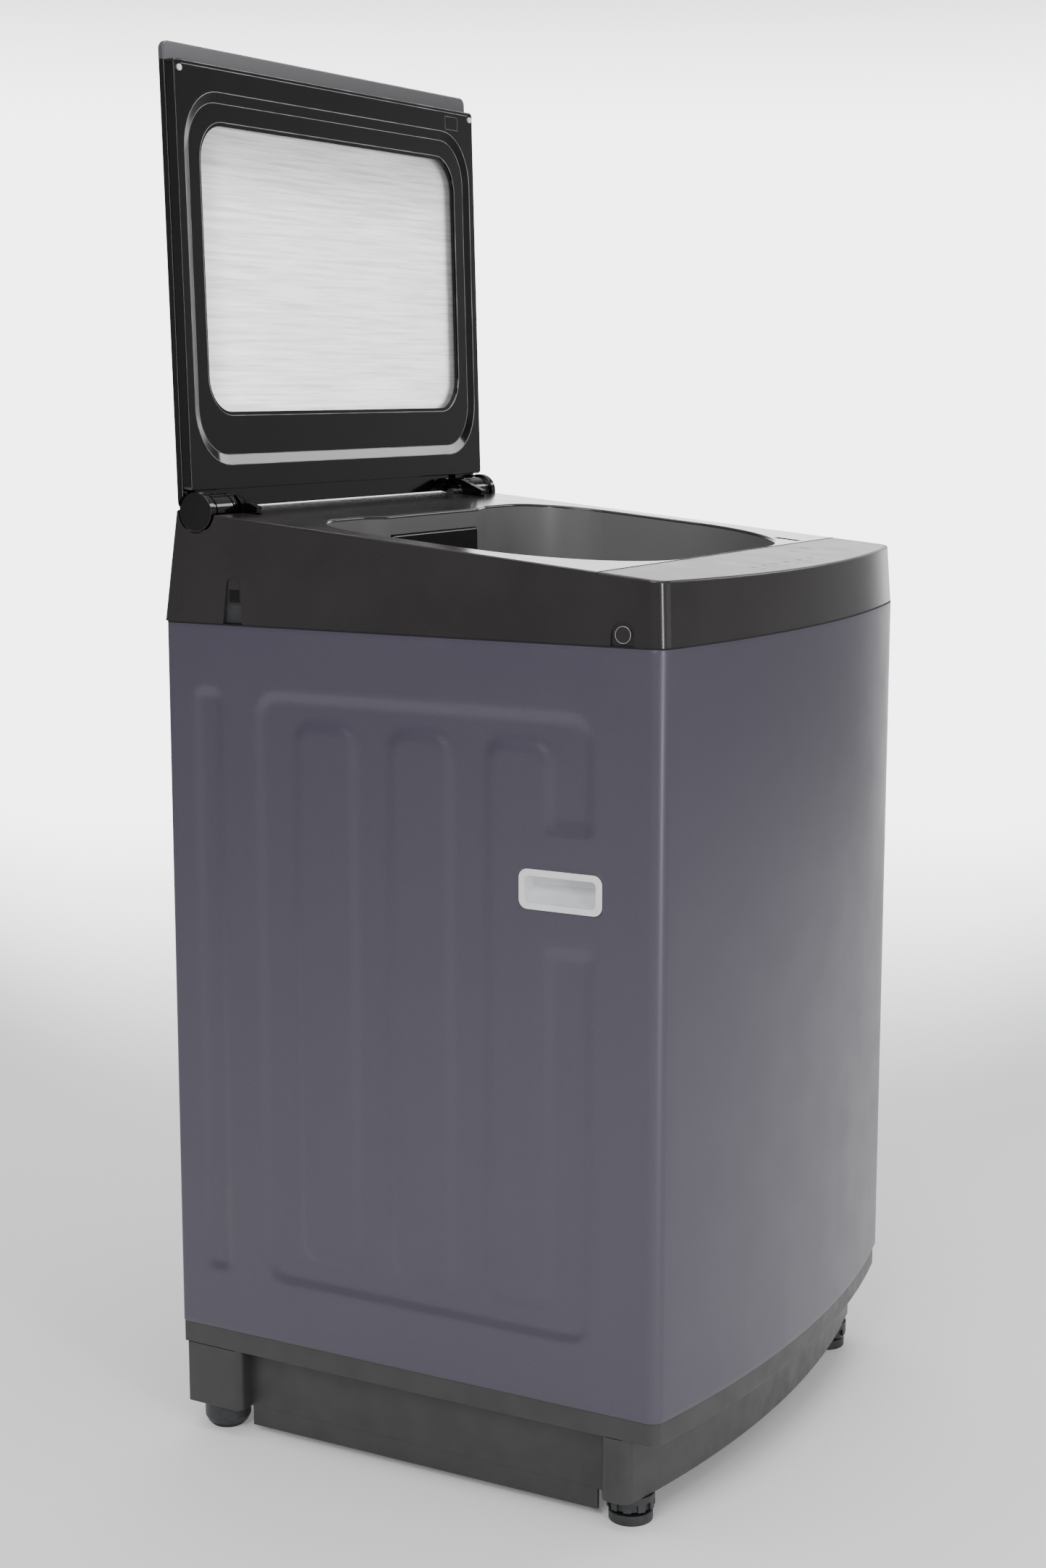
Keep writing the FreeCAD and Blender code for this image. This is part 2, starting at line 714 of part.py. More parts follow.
def top_cover():
    outside = cover_outside()
    throat_bottom = z_cover - throat_floor_gap
    throat = rounded_slab(throat_corners(0.0), throat_bottom - 1.0, z_top + 50.0)
    solid = cover_loft(0.0).cut(over_deck(0.0)).cut(throat)
    rim = [edge for edge in deck_edges(solid) if in_throat(edge.CenterOfMass)]
    solid = solid.makeFillet(throat_rim_radius, rim).common(outside)
    under_panel = block(-width, width, -width, panel_rear_y + plastic - hinge_y,
                        -panel_thickness - plastic, 50.0)
    hollow = cover_loft(plastic).cut(over_deck(-plastic)).cut(on_deck(under_panel))
    shell = solid.cut(hollow)
    sleeve = rounded_slab(throat_corners(plastic), throat_bottom, z_top).cut(over_deck(-plastic))
    shell = fuse(shell, sleeve.cut(throat))
    well, swing, well_end = hinge_well()
    lining = rod_along_x(hinge_disc_radius + 2.5 + plastic, -half_width, well_end, hinge_y, z_hinge)
    swing_lining = block(well_end - stop_rib_width - hinge_play - plastic, well_end + 10.0,
                         hinge_y - stop_rib_reach - 5.0, hinge_y + 22.0, z_hinge - 46.0, z_top)
    linings = fuse(lining, swing_lining).cut(over_deck(-plastic / 2.0)).common(outside)
    shell = fuse(shell, *both_sides(linings))
    x0, x1, y0, y1, z0, z1 = drawer_box(drawer_gap + plastic)
    shell = fuse(shell, block(x0, x1, y0, throat_rear_y + 14.0, z0, z1))
    pocket_z = z_top - inlet_drop
    pocket_y = y_rear - inlet_pocket_depth
    pocket = [inlet_x - pocket_half, inlet_x + pocket_half, pocket_y, y_rear + 5.0,
              pocket_z - pocket_half, pocket_z + pocket_half]
    walls = block(pocket[0] - plastic, pocket[1] + plastic, pocket_y - plastic, y_rear + 5.0,
                  pocket[4] - plastic, pocket[5] + plastic).common(outside)
    shell = fuse(shell, walls).cut(block(*pocket))
    shell = shell.cut(Part.makeCylinder(inlet_thread_radius + 1.0, 30.0,
                                        V(inlet_x, pocket_y - 15.0, pocket_z), V(0, 1, 0)))
    shell = shell.cut(block(x0, x1, throat_rear_y - 30.0, throat_rear_y, z0, z1).common(throat))
    x0, x1, y0, y1, z0, z1 = drawer_box(drawer_gap)
    shell = shell.cut(block(x0, x1, throat_rear_y - 30.0, throat_rear_y + 20.0, z0, z1))
    pin = rod_along_x(hinge_pin_radius, -half_width, well_end + 9.0, hinge_y, z_hinge)
    for cut in (well, swing, pin):
        for shape in both_sides(cut):
            shell = shell.cut(shape)
    shell = shell.cut(on_deck(panel_space(0.0)))
    slot = rounded_slab(rect(lock_slot_x - lock_slot_width / 2.0, lock_slot_x + lock_slot_width / 2.0,
                             panel_rear_y + 6.0 - hinge_y, panel_rear_y + 6.0 + lock_slot_length
                             - hinge_y, 3.0), -8.0, 5.0)
    shell = shell.cut(on_deck(slot))
    for recess in side_recesses():
        for shape in both_sides(on_side(recess)):
            shell = shell.cut(shape)
    return shell.removeSplitter()


def panel_space(gap):
    """The slab of deck that the control panel fills, in deck coordinates."""
    rear = panel_rear_y - hinge_y - gap
    return block(-width, width, -width, rear, -panel_thickness, 50.0)


def side_recesses():
    """Screw recess and clip window of the cover's side, drawn as (y, z, depth)."""
    y = y_front + cap_front_inset
    z = z_cover + cap_rise
    radius = cap_radius + 4.0
    arch = block(y - radius, y + radius, z_cover - 1.0, z, -5.0, 3.2)
    arch = fuse(disc(radius, -5.0, 3.2, y, z), arch)
    bore = disc(2.6, -5.0, 12.0, y, z)
    clip_y = y_rear - clip_rear_inset
    half = clip_width / 2.0
    foot = half + 2.0
    head = half - 2.0
    head_z = z_cover + clip_height
    outline = [(clip_y - foot, z_cover - 1.0, 0.5), (clip_y + foot, z_cover - 1.0, 0.5),
               (clip_y + head, head_z, 7.5), (clip_y - head, head_z, 7.5)]
    chimney = rounded_slab(outline, -5.0, 4.6)
    window = block(clip_y - half + 3.5, clip_y + half - 3.5, z_cover + 22.0, z_cover + 35.0, -5.0, 12.0)
    return arch, bore, chimney, window


def control_panel():
    return cover_outside().common(on_deck(panel_space(seam)))


def screw_cap():
    y = y_front + cap_front_inset
    z = z_cover + cap_rise
    cap = disc(cap_radius, 1.4, 3.2, y, z)
    cap = cap.makeFillet(0.5, [edge for edge in cap.Edges if edge.Closed])
    return on_side(fuse(cap, disc(2.5, 3.0, 9.0, y, z)))


def control_board():
    """Board in a shallow tray, hung under the control panel."""
    half = half_width - 160.0
    rear = panel_rear_y - hinge_y - 8.0
    front = rear - 56.0
    tray = block(-half, half, front, rear, -panel_thickness - plastic - 20.0,
                 -panel_thickness - plastic)
    room = block(-half + 2.0, half - 2.0, front + 2.0, rear - 2.0,
                 -panel_thickness - plastic - 18.0, 0.0)
    board = block(-half + 2.0, half - 2.0, front + 2.0, rear - 2.0,
                  -panel_thickness - plastic - 12.0, -panel_thickness - plastic - 10.4)
    parts = [board]
    for index in range(7):
        x = -half + 30.0 + index * (2.0 * half - 60.0) / 6.0
        parts.append(block(x - 7.0, x + 7.0, front + 12.0, front + 26.0,
                           -panel_thickness - plastic - 10.5, -panel_thickness - plastic - 6.0))
        parts.append(disc(2.0, -panel_thickness - plastic - 10.5, -panel_thickness - plastic - 7.0,
                          x, front + 38.0))
    return on_deck(tray.cut(room)), on_deck(fuse(*parts))


def lid_lock():
    """Lock case under the slot, with its bolt drawn back inside."""
    y0 = panel_rear_y + plastic + 1.0 - hinge_y
    top = -plastic
    x0 = lock_slot_x - lock_slot_width / 2.0 - 5.0
    x1 = lock_slot_x + lock_slot_width / 2.0 + 22.0
    case = block(x0, x1, y0, y0 + lock_slot_length + 8.0, top - 34.0, top)
    room = block(lock_slot_x - lock_slot_width / 2.0, lock_slot_x + lock_slot_width / 2.0,
                 y0 + 2.0, y0 + 2.0 + lock_slot_length, top - 28.0, top + 1.0)
    throat = rounded_slab(throat_corners(plastic + fit_gap), z_cover - 50.0, z_top)
    return on_deck(case.cut(room)).cut(throat)


# ---- Lid ----------------------------------------------------------------------
def window_rect(grow):
    half = window_width / 2.0
    return (-half - grow, half + grow, window_start - grow, window_end + grow, window_radius + grow)


def lies_at(edge, height, press):
    """True for an edge of a pressed outline at a height."""
    box = edge.BoundBox
    level = abs(box.ZMin - height) < 0.01 and abs(box.ZMax - height) < 0.01
    return level and press.BoundBox.isInside(edge.CenterOfMass)


def lid_frame():
    half = lid_width / 2.0
    front = -frame_face
    back = front - frame_thickness
    body = rounded_slab(rect(-half, half, frame_start, frame_length, 5.0), back, front)
    rims = [edge for edge in body.Edges if abs(edge.BoundBox.ZMin - front) < 0.01]
    body = body.makeFillet(lid_small_radius, rims)
    inner = rounded_slab(rect(-half + lid_skin, half - lid_skin, frame_start + lid_skin,
                              frame_length - lid_skin, 3.0), back - 1.0, front - lid_skin)
    dish = bevelled(-dish_width / 2.0, dish_width / 2.0, dish_start, dish_end, dish_radius,
                    -dish_depth, dish_bevel)
    dish.translate(V(0, 0, front))
    step = bevelled(*window_rect(4.0), -2.0, 1.0)
    step.translate(V(0, 0, front - dish_depth))
    for press, height in ((dish, front), (step, front - dish_depth)):
        body = body.cut(press)
        rim = [edge for edge in body.Edges if lies_at(edge, height, press)]
        body = body.makeFillet(dish_edge_radius, rim)
        skin = press.copy()
        skin.translate(V(0, 0, -lid_skin))
        inner = inner.cut(skin)
    seat = rounded_slab(grown(*window_rect(window_lap + 3.0), 0.0), back, back + 6.0)
    pane = rounded_slab(grown(*window_rect(window_lap + fit_gap), 0.0), back - 1.0,
                        back + glass_thickness)
    hole = rounded_slab(grown(*window_rect(0.0), 0.0), back - 1.0, front + 1.0)
    shell = fuse(body.cut(inner), seat).cut(pane).cut(hole)
    for arm in hinge_arm_room():
        shell = shell.cut(arm)
    return shell.removeSplitter()


def hinge_arm_room():
    """The slot in the frame's lower edge that each hinge arm passes through."""
    x0 = -hinge_half + hinge_disc_width + 3.0
    x1 = x0 + barrel_length - 6.0
    back = -frame_face - frame_thickness
    slot = block(x0 - 0.5, x1 + 0.5, frame_start - 1.0, frame_start + lid_skin + 1.0, back - 1.0,
                 -frame_face - lid_skin)
    return both_sides(slot)


def lid_cover():
    half = lid_width / 2.0 + 1.5
    front = -frame_face - frame_thickness
    back = front - lid_cover_thickness
    body = rounded_slab(rect(-half, half, 2.0, lid_length, lid_corner_radius), back, front)
    rims = [edge for edge in body.Edges if abs(edge.BoundBox.ZMax - back) < 0.01]
    body = body.makeFillet(lid_edge_radius, rims)
    lip = [edge for edge in body.Edges if abs(edge.BoundBox.ZMin - front) < 0.01]
    body = body.makeFillet(lid_small_radius, lip)
    room = rounded_slab(rect(-half + 4.0, half - 4.0, 26.0, frame_length - 4.0, 5.0), back + lid_skin,
                        front + 1.0)
    land = rounded_slab(grown(*window_rect(window_lap + 3.0), 0.0), back, front)
    hole = rounded_slab(grown(*window_rect(0.0), 0.0), back - 1.0, front + 1.0)
    shell = fuse(body.cut(room), land).cut(hole)
    end = -hinge_half + hinge_disc_width + barrel_length
    for x0, x1, radius in ((-width, -hinge_half + hinge_disc_width + fit_gap, hinge_disc_radius),
                           (-hinge_half, end + hinge_play + stop_rib_width + fit_gap, barrel_radius)):
        for room in both_sides(rod_along_x(radius + fit_gap, x0, x1, 0.0, 0.0)):
            shell = shell.cut(room)
    return shell


def lid_window():
    back = -frame_face - frame_thickness
    return rounded_slab(grown(*window_rect(window_lap), 0.0), back, back + glass_thickness)


def lid_hinge():
    """Barrel of one hinge, with its arm into the lid and its stop rib."""
    x0 = -hinge_half + hinge_disc_width
    x1 = x0 + barrel_length
    barrel = rod_along_x(barrel_radius, x0, x1, 0.0, 0.0)
    for offset in (6.0, barrel_length - 9.0):
        groove = rod_along_x(barrel_radius + 1.0, x0 + offset, x0 + offset + 2.4, 0.0, 0.0)
        core = rod_along_x(barrel_radius - 1.6, x0 + offset - 1.0, x0 + offset + 4.0, 0.0, 0.0)
        barrel = barrel.cut(groove.cut(core))
    back = -frame_face - frame_thickness
    arm = block(x0 + 3.0, x1 - 3.0, 4.0, 62.0, back, back + 5.0)
    rib_points = [(6.0, 9.0), (15.5, 9.0), (2.0, stop_rib_reach), (-6.0, stop_rib_reach - 2.0),
                  (-9.0, 8.0)]
    rib_x = x1 + hinge_play
    rib = Part.Face(Part.makePolygon([V(rib_x, l, n) for l, n in rib_points + rib_points[:1]]))
    rib = rib.extrude(V(stop_rib_width, 0, 0))
    boss = rod_along_x(hinge_pin_radius + 5.0, x1 - 1.0, rib_x + stop_rib_width, 0.0, 0.0)
    bore = rod_along_x(hinge_pin_radius + running_gap, x0 + 3.0, x1 + 30.0, 0.0, 0.0)
    return fuse(barrel, arm, rib, boss).cut(bore)


def hinge_cap():
    """End disc with a shallow turned cone in its face."""
    x0 = -hinge_half
    face = Part.makeCone(hinge_disc_radius - 1.5, 0.5, 1.2, V(x0, 0, 0), V(1, 0, 0))
    cap = rod_along_x(hinge_disc_radius, x0, x0 + hinge_disc_width, 0.0, 0.0)
    cap = cap.makeFillet(0.6, [edge for edge in cap.Edges if edge.Closed])
    return cap.cut(face)


# ---- Detergent drawer ---------------------------------------------------------
def dispenser_housing():
    x0, x1, y0, y1, z0, z1 = drawer_box(drawer_gap)
    start = throat_rear_y + 14.5
    case = block(x0 - 2.0, x1 + 2.0, start, y1 + 2.0, z0 - 2.0, z1 + 2.0)
    room = block(x0, x1, start - 1.0, y1, z0, z1)
    inlet = Part.makeCylinder(8.0, 14.0, V(x0 - 15.0, y1 - 20.0, z1 - 12.0), V(1, 0, 0))
    bore = Part.makeCylinder(6.0, 30.0, V(x0 - 16.0, y1 - 20.0, z1 - 12.0), V(1, 0, 0))
    drain = block(-22.0, 22.0, start + 30.0, start + 50.0, z0 - 10.0, z0 + 5.0)
    return fuse(case.cut(room), inlet).cut(bore).cut(drain)


def detergent_drawer():
    x0, x1, y0, y1, z0, z1 = drawer_box(0.0)
    front_y = throat_rear_y - drawer_proud
    tray = block(x0, x1, front_y + 2.0, y1 - 2.0, z0, z1 - 4.0)
    wall = drawer_wall
    for cell_x0, cell_x1 in ((x0 + wall, -wall / 2.0), (wall / 2.0, x1 - wall)):
        tray = tray.cut(block(cell_x0, cell_x1, front_y + 9.0, y1 - 2.0 - wall, z0 + wall, z1))
    front = rounded_slab(rect(x0 + 0.2, x1 - 0.2, z0 + 0.2, z1 - 0.2, 5.0), -front_y - 6.0, -front_y)
    front = front.makeFillet(2.0, [edge for edge in front.Edges
                                   if abs(edge.BoundBox.ZMin + front_y) < 0.01])
    front.rotate(V(0, 0, 0), V(1, 0, 0), 90.0)
    grip = rod_along_x(9.0, -35.0, 35.0, front_y + 1.0, z0 - 1.0)
    return fuse(tray, front).cut(grip)


# ---- Water inlet and drain ----------------------------------------------------
def inlet_valve():
    pocket_y = y_rear - inlet_pocket_depth - plastic
    z = z_top - inlet_drop
    collar = Part.makeCylinder(inlet_thread_radius + 0.6, plastic, V(inlet_x, pocket_y, z), V(0, 1, 0))
    thread = Part.makeCylinder(inlet_thread_radius, inlet_spigot_length,
                               V(inlet_x, pocket_y + plastic, z), V(0, 1, 0))
    flange = block(inlet_x - 24.0, inlet_x + 24.0, pocket_y - 4.0, pocket_y, z - 22.0, z + 22.0)
    body = block(inlet_x - 18.0, inlet_x + 18.0, pocket_y - 40.0, pocket_y - 4.0, z - 18.0, z + 18.0)
    coil = disc(15.0, z - 52.0, z - 17.0, inlet_x, pocket_y - 22.0)
    bore = Part.makeCylinder(9.0, 34.0, V(inlet_x, pocket_y - 15.0, z), V(0, 1, 0))
    outlet = Part.makeCylinder(6.0, 22.0, V(inlet_x + 16.0, pocket_y - 22.0, z), V(1, 0, 0))
    return fuse(thread, collar, flange, body, coil, outlet).cut(bore)


def drain_outlet():
    """Hose tail clamped in the rear of the base, with one barb ring."""
    face = y_rear - skirt_inset
    tail = Part.makeCylinder(drain_radius, 52.0, V(drain_x, face - 30.0, drain_rise), V(0, 1, 0))
    collar = Part.makeCylinder(drain_radius + 6.0, 3.0, V(drain_x, face, drain_rise), V(0, 1, 0))
    bore = Part.makeCylinder(drain_radius - 3.0, 60.0, V(drain_x, face - 32.0, drain_rise), V(0, 1, 0))
    return fuse(tail, collar).cut(bore)


# ---- Tub and suspension -------------------------------------------------------
def rod_places():
    return [(sx * rod_x, sy * rod_y) for sx in (-1, 1) for sy in (-1, 1)]


def tub():
    shell = disc(tub_radius, tub_bottom_z, tub_top_z)
    for x, y in rod_places():
        reach = math.hypot(x, y)
        arm = block(tub_radius - 12.0, reach, -9.0, 9.0, lug_bottom_z, lug_bottom_z + lug_height)
        rib = Part.Face(Part.makePolygon([
            V(tub_radius - 12.0, -2.5, lug_bottom_z + 2.0), V(reach - 12.0, -2.5, lug_bottom_z + 2.0),
            V(tub_radius - 12.0, -2.5, lug_bottom_z - 45.0), V(tub_radius - 12.0, -2.5, lug_bottom_z + 2.0)]))
        rib = rib.extrude(V(0, 5.0, 0))
        eye = disc(16.0, lug_bottom_z, lug_bottom_z + lug_height, reach, 0.0)
        lug = fuse(arm, rib, eye)
        lug.rotate(V(0, 0, 0), V(0, 0, 1), math.degrees(math.atan2(y, x)))
        shell = shell.fuse(lug)
    shell = shell.cut(disc(tub_radius - tub_wall, tub_bottom_z + tub_wall, tub_top_z + 1.0))
    for index in range(4):
        z = tub_bottom_z + (tub_top_z - tub_bottom_z) * (0.15 + 0.23 * index)
        shell = shell.fuse(ring(tub_radius + 3.0, tub_radius - 0.5, z, z + 3.0))
    for x, y in rod_places():
        shell = shell.cut(disc(rod_radius + 2.0, lug_bottom_z - 1.0, lug_bottom_z + lug_height + 1.0,
                               x, y))
    seat = disc(bearing_radius + 6.0, tub_bottom_z, tub_bottom_z + 14.0)
    shell = shell.fuse(seat)
    shell = shell.cut(disc(bearing_radius - 3.0, tub_bottom_z + 4.0, tub_bottom_z + 15.0))
    return shell.cut(disc(spin_tube_radius + 3.0, tub_bottom_z - 1.0, tub_bottom_z + 15.0)).removeSplitter()


def tub_ring():
    """Cover ring clipped on the tub's rim, with a splash lip round its opening."""
    outer = tub_radius + 4.0
    inner = min(tub_ring_opening, basket_radius - balance_width)
    low = tub_top_z
    crown = inner + 14.0
    lip = inner + 2.6
    return turned([(outer - 3.0, low - 12.0), (outer, low - 12.0), (outer, low + 3.0),
                   (crown, low + 15.0), (inner, low + 15.0), (inner, low + 5.0), (lip, low + 5.0),
                   (lip, low + 12.0), (crown, low + 12.0), (tub_radius - tub_wall, low),
                   (outer - 3.0, low)])


def suspension_bracket(x, y):
    """Corner plate under the cabinet's top flange, folded down along the side."""
    sx = math.copysign(1.0, x)
    sy = math.copysign(1.0, y)
    wall_x = half_width - sheet
    top = z_cover - sheet
    y_wall = y_rear - rear_recess - 2.0 * sheet if sy > 0 else -y_front
    inner_x = abs(x) - 22.0
    inner_y = abs(y) - 24.0
    corner = 14.0
    plate = Part.Face(Part.makePolygon([V(sx * wall_x, sy * inner_y, top), V(sx * inner_x, sy * inner_y, top),
                                        V(sx * inner_x, sy * (y_wall - corner), top),
                                        V(sx * (wall_x - corner), sy * (y_wall - corner), top),
                                        V(sx * wall_x, sy * (y_wall - corner - 8.0), top),
                                        V(sx * wall_x, sy * inner_y, top)])).extrude(V(0, 0, -2.5))
    near = sorted((sx * wall_x, sx * (wall_x - 2.0)))
    along = sorted((sy * inner_y, sy * (y_wall - corner - 8.0)))
    fold = block(near[0], near[1], along[0], along[1], top - 30.0, top - 1.0)
    return fuse(plate, fold).cut(disc(rod_radius + 1.5, top - 10.0, top + 5.0, x, y))


def suspension_rod(x, y):
    """Rod with a ball head on its bracket and a spring seat at its foot."""
    top = z_cover - sheet - 2.5
    seat_z = lug_bottom_z - spring_length - fit_gap * 2.0
    rod = disc(rod_radius, seat_z - 8.0, top - 6.0, x, y)
    neck = disc(rod_radius, top - 7.0, top + 2.0, x, y)
    ball = Part.makeCone(5.0, 9.0, 7.0, V(x, y, top - 7.0))
    seat = disc(rod_seat_radius, seat_z - 4.0, seat_z, x, y)
    nut = disc(8.0, seat_z - 9.0, seat_z - 3.5, x, y)
    return fuse(rod, neck, ball, seat, nut)


def suspension_spring(x, y):
    """Open coil spring between the rod's seat and the tub's lug."""
    bottom = lug_bottom_z - fit_gap - spring_length + spring_wire
    height = spring_length - 2.0 * spring_wire
    helix = Part.makeHelix(height / spring_turns, height, spring_radius)
    start = V(spring_radius, 0, 0)
    circle = Part.Wire(Part.makeCircle(spring_wire, start, V(0, 1, height / spring_turns / 65.0)))
    coil = Part.Wire(helix).makePipeShell([circle], True, True)
    coil.translate(V(x, y, bottom))
    return coil


# ---- Basket -------------------------------------------------------------------
def basket():
    wall_top = balance_bottom_z + balance_height * 0.3
    shell = ring(basket_radius, basket_radius - basket_wall, basket_bottom_z, wall_top)
    ledge = ring(basket_radius - basket_wall / 2.0, basket_radius - 14.0,
                 balance_bottom_z - basket_wall, balance_bottom_z)
    shell = shell.fuse(ledge)
    for index in range(2):
        z = basket_bottom_z + (balance_bottom_z - basket_bottom_z) * (0.33 + 0.33 * index)
        shell = shell.fuse(ring(basket_radius + 2.0, basket_radius - 0.4, z - 5.0, z + 5.0))
    return shell.removeSplitter()


def basket_floor_disc():
    outer = basket_radius - basket_wall
    low = basket_bottom_z
    top = low + basket_floor
    rim = top + 16.0
    well = low + 5.0
    return turned([(spin_tube_radius, low), (outer, low), (outer, rim), (outer - 3.0, rim),
                   (outer - 14.0, top + 3.0), (pulsator_radius + 8.0, top),
                   (pulsator_radius - 10.0, well), (spin_tube_radius, well)])


def basket_hub():
    """Three armed hub that bolts the basket's floor to the spin tube."""
    top = basket_bottom_z
    hub = disc(36.0, top - 9.0, top)
    for index in range(3):
        arm = block(0.0, basket_radius * 0.62, -13.0, 13.0, top - 6.0, top)
        arm.rotate(V(0, 0, 0), V(0, 0, 1), 120.0 * index)
        hub = hub.fuse(arm)
    return hub.cut(disc(spin_tube_radius, top - 20.0, top + 5.0)).removeSplitter()


def balance_ring():
    outer = basket_radius - basket_wall - fit_gap
    inner = outer - balance_width
    low = balance_bottom_z
    high = low + balance_height
    section = rounded_outline(rect(inner, outer, low, high, 7.0))
    face = Part.Face(section)
    face.rotate(V(0, 0, 0), V(1, 0, 0), 90.0)
    return face.revolve(V(0, 0, 0), V(0, 0, 1), 360)


def lint_filter():
    """Filter cassette hooked on the basket's wall: frame with a slotted grille."""
    outer = basket_radius - basket_wall
    low = basket_bottom_z + (balance_bottom_z - basket_bottom_z) * 0.42
    high = low + 130.0
    half = 38.0
    case = block(-half, half, outer - 26.0, outer + 5.0, low, high)
    case = case.common(disc(outer - fit_gap, low, high))
    room = block(-half + 3.0, half - 3.0, outer - 22.0, outer - 3.0 - 4.0, low + 3.0, high - 3.0)
    case = case.cut(room)
    for index in range(9):
        z = low + 12.0 + index * 12.0
        case = case.cut(block(-half + 8.0, half - 8.0, outer - 30.0, outer - 21.0, z, z + 6.0))
    return case


def pulsator():
    low = basket_bottom_z + 5.0 + 3.0
    rim = pulsator_radius
    plate = turned([(wash_shaft_radius, low), (30.0, low), (30.0, low + 6.0), (rim - 12.0, low + 6.0),
                    (rim, low + 9.0), (rim, low + 12.0), (60.0, low + 16.0), (38.0, low + 30.0),
                    (wash_shaft_radius, low + 30.0)])
    for index in range(pulsator_blades):
        blade = Part.makeLoft([
            Part.makePolygon([V(34.0, -9.0, low + 9.0), V(rim - 8.0, -7.0, low + 9.0),
                              V(rim - 8.0, 7.0, low + 9.0), V(34.0, 9.0, low + 9.0),
                              V(34.0, -9.0, low + 9.0)]),
            Part.makePolygon([V(38.0, -3.0, low + 36.0), V(rim - 34.0, -2.0, low + 28.0),
                              V(rim - 34.0, 2.0, low + 28.0), V(38.0, 3.0, low + 36.0),
                              V(38.0, -3.0, low + 36.0)])], True, True)
        blade.rotate(V(0, 0, 0), V(0, 0, 1), 360.0 / pulsator_blades * index)
        plate = plate.fuse(blade)
    return plate.cut(disc(wash_shaft_radius, low - 1.0, low + 24.0)).removeSplitter()


# ---- Drive --------------------------------------------------------------------
def support_plate():
    """Steel cross beam under the tub that carries gearbox and motor."""
    length = tub_radius - 22.0
    tail_half = 70.0
    motor_end = motor_distance + motor_radius + 4.0
    low = plate_bottom_z
    beam = block(-length, length, -plate_half_width, plate_half_width, low, tub_bottom_z)
    tail = block(-tail_half, tail_half, -90.0, motor_end, low, tub_bottom_z)
    plate = fuse(beam, tail)
    middle = block(-tail_half - 2.0, tail_half + 2.0, -width, width, low - plate_lip - 1.0, low)
    for y in (-plate_half_width, plate_half_width):
        lip = block(-length, length, y - 1.25, y + 1.25, low - plate_lip, low + 1.0)
        plate = plate.fuse(lip.cut(middle))
    bore = disc(bearing_radius + 14.0, low - plate_lip, tub_bottom_z + 1.0)
    return plate.cut(bore).removeSplitter()


def gearbox():
    """Gearbox and clutch case, with a bearing seat at each end."""
    low = gearbox_bottom_z
    top = plate_bottom_z
    wall = 4.0
    tube = bearing_radius
    neck = bearing_radius + 13.5
    flange = gearbox_radius + 18.0
    hole = spin_tube_radius + 5.0
    seat = low + bearing_width
    outside = [(tube, low), (gearbox_radius, low), (gearbox_radius, top - 22.0),
               (tube + wall, top - 10.0), (tube + wall, top - 6.0), (flange, top - 6.0),
               (flange, top), (neck, top), (neck, tub_bottom_z), (tube, tub_bottom_z)]
    inside = [(tube, top - 12.0), (hole, top - 12.0), (hole, top - 16.0), (tube + wall, top - 16.0),
              (gearbox_radius - wall, top - 26.0), (gearbox_radius - wall, seat + wall),
              (hole, seat + wall), (hole, seat), (tube, seat)]
    return turned(outside + inside)


def bearing(low):
    """One sealed ball bearing: both races and the shields between them."""
    high = low + bearing_width
    outer = ring(bearing_radius, bearing_radius - 4.0, low, high)
    inner = ring(spin_tube_radius + 4.0, spin_tube_radius + running_gap, low, high)
    shield = ring(bearing_radius - 3.5, spin_tube_radius + 3.5, low + 1.0, high - 1.0)
    return fuse(outer, inner, shield)


def drive_pulley():
    low = pulley_bottom_z
    high = low + pulley_width
    mid = low + pulley_width / 2.0
    rim = pulley_radius
    half = belt_height / 2.0
    hub = 20.0
    flange = rim + 3.0
    bed = rim - 10.0
    wheel = turned([(wash_shaft_radius, low - 2.0), (hub, low - 2.0), (hub, mid - 2.0), (bed, mid - 2.0),
                    (bed, low), (flange, low), (flange, low + 2.0), (rim, mid - half),
                    (rim, mid + half), (flange, high - 2.0), (flange, high), (bed, high),
                    (bed, mid + 2.0), (hub, mid + 2.0), (hub, high), (wash_shaft_radius, high)])
    for index in range(6):
        angle = math.radians(60.0 * index)
        x = 48.0 * math.cos(angle)
        y = 48.0 * math.sin(angle)
        wheel = wheel.cut(disc(13.0, low - 5.0, high + 5.0, x, y))
    return wheel


def motor_pulley():
    low = pulley_bottom_z
    high = low + pulley_width
    mid = low + pulley_width / 2.0
    rim = motor_pulley_radius
    half = belt_height / 2.0
    flange = rim + 3.0
    shaft_top = plate_bottom_z - 30.0
    wheel = turned([(0.0, low), (flange, low), (flange, low + 2.0), (rim, mid - half),
                    (rim, mid + half), (flange, high - 2.0), (flange, high), (6.0, high),
                    (6.0, shaft_top), (0.0, shaft_top)])
    wheel.translate(V(0, motor_distance, 0))
    return wheel


def belt_outline(grow, z):
    """The loop round both pulleys: two arcs and their outer tangents."""
    big = pulley_radius + grow
    small = motor_pulley_radius + grow
    lean = math.asin((big - small) / motor_distance)
    c, s = math.cos(lean), math.sin(lean)
    big_right = V(big * c, big * s, z)
    small_right = V(small * c, motor_distance + small * s, z)
    edges = [
        Part.Arc(V(-big_right.x, big_right.y, z), V(0, -big, z), big_right).toShape(),
        Part.LineSegment(big_right, small_right).toShape(),
        Part.Arc(small_right, V(0, motor_distance + small, z), V(-small_right.x, small_right.y, z)).toShape(),
        Part.LineSegment(V(-small_right.x, small_right.y, z), V(-big_right.x, big_right.y, z)).toShape(),
    ]
    return Part.Wire(edges)


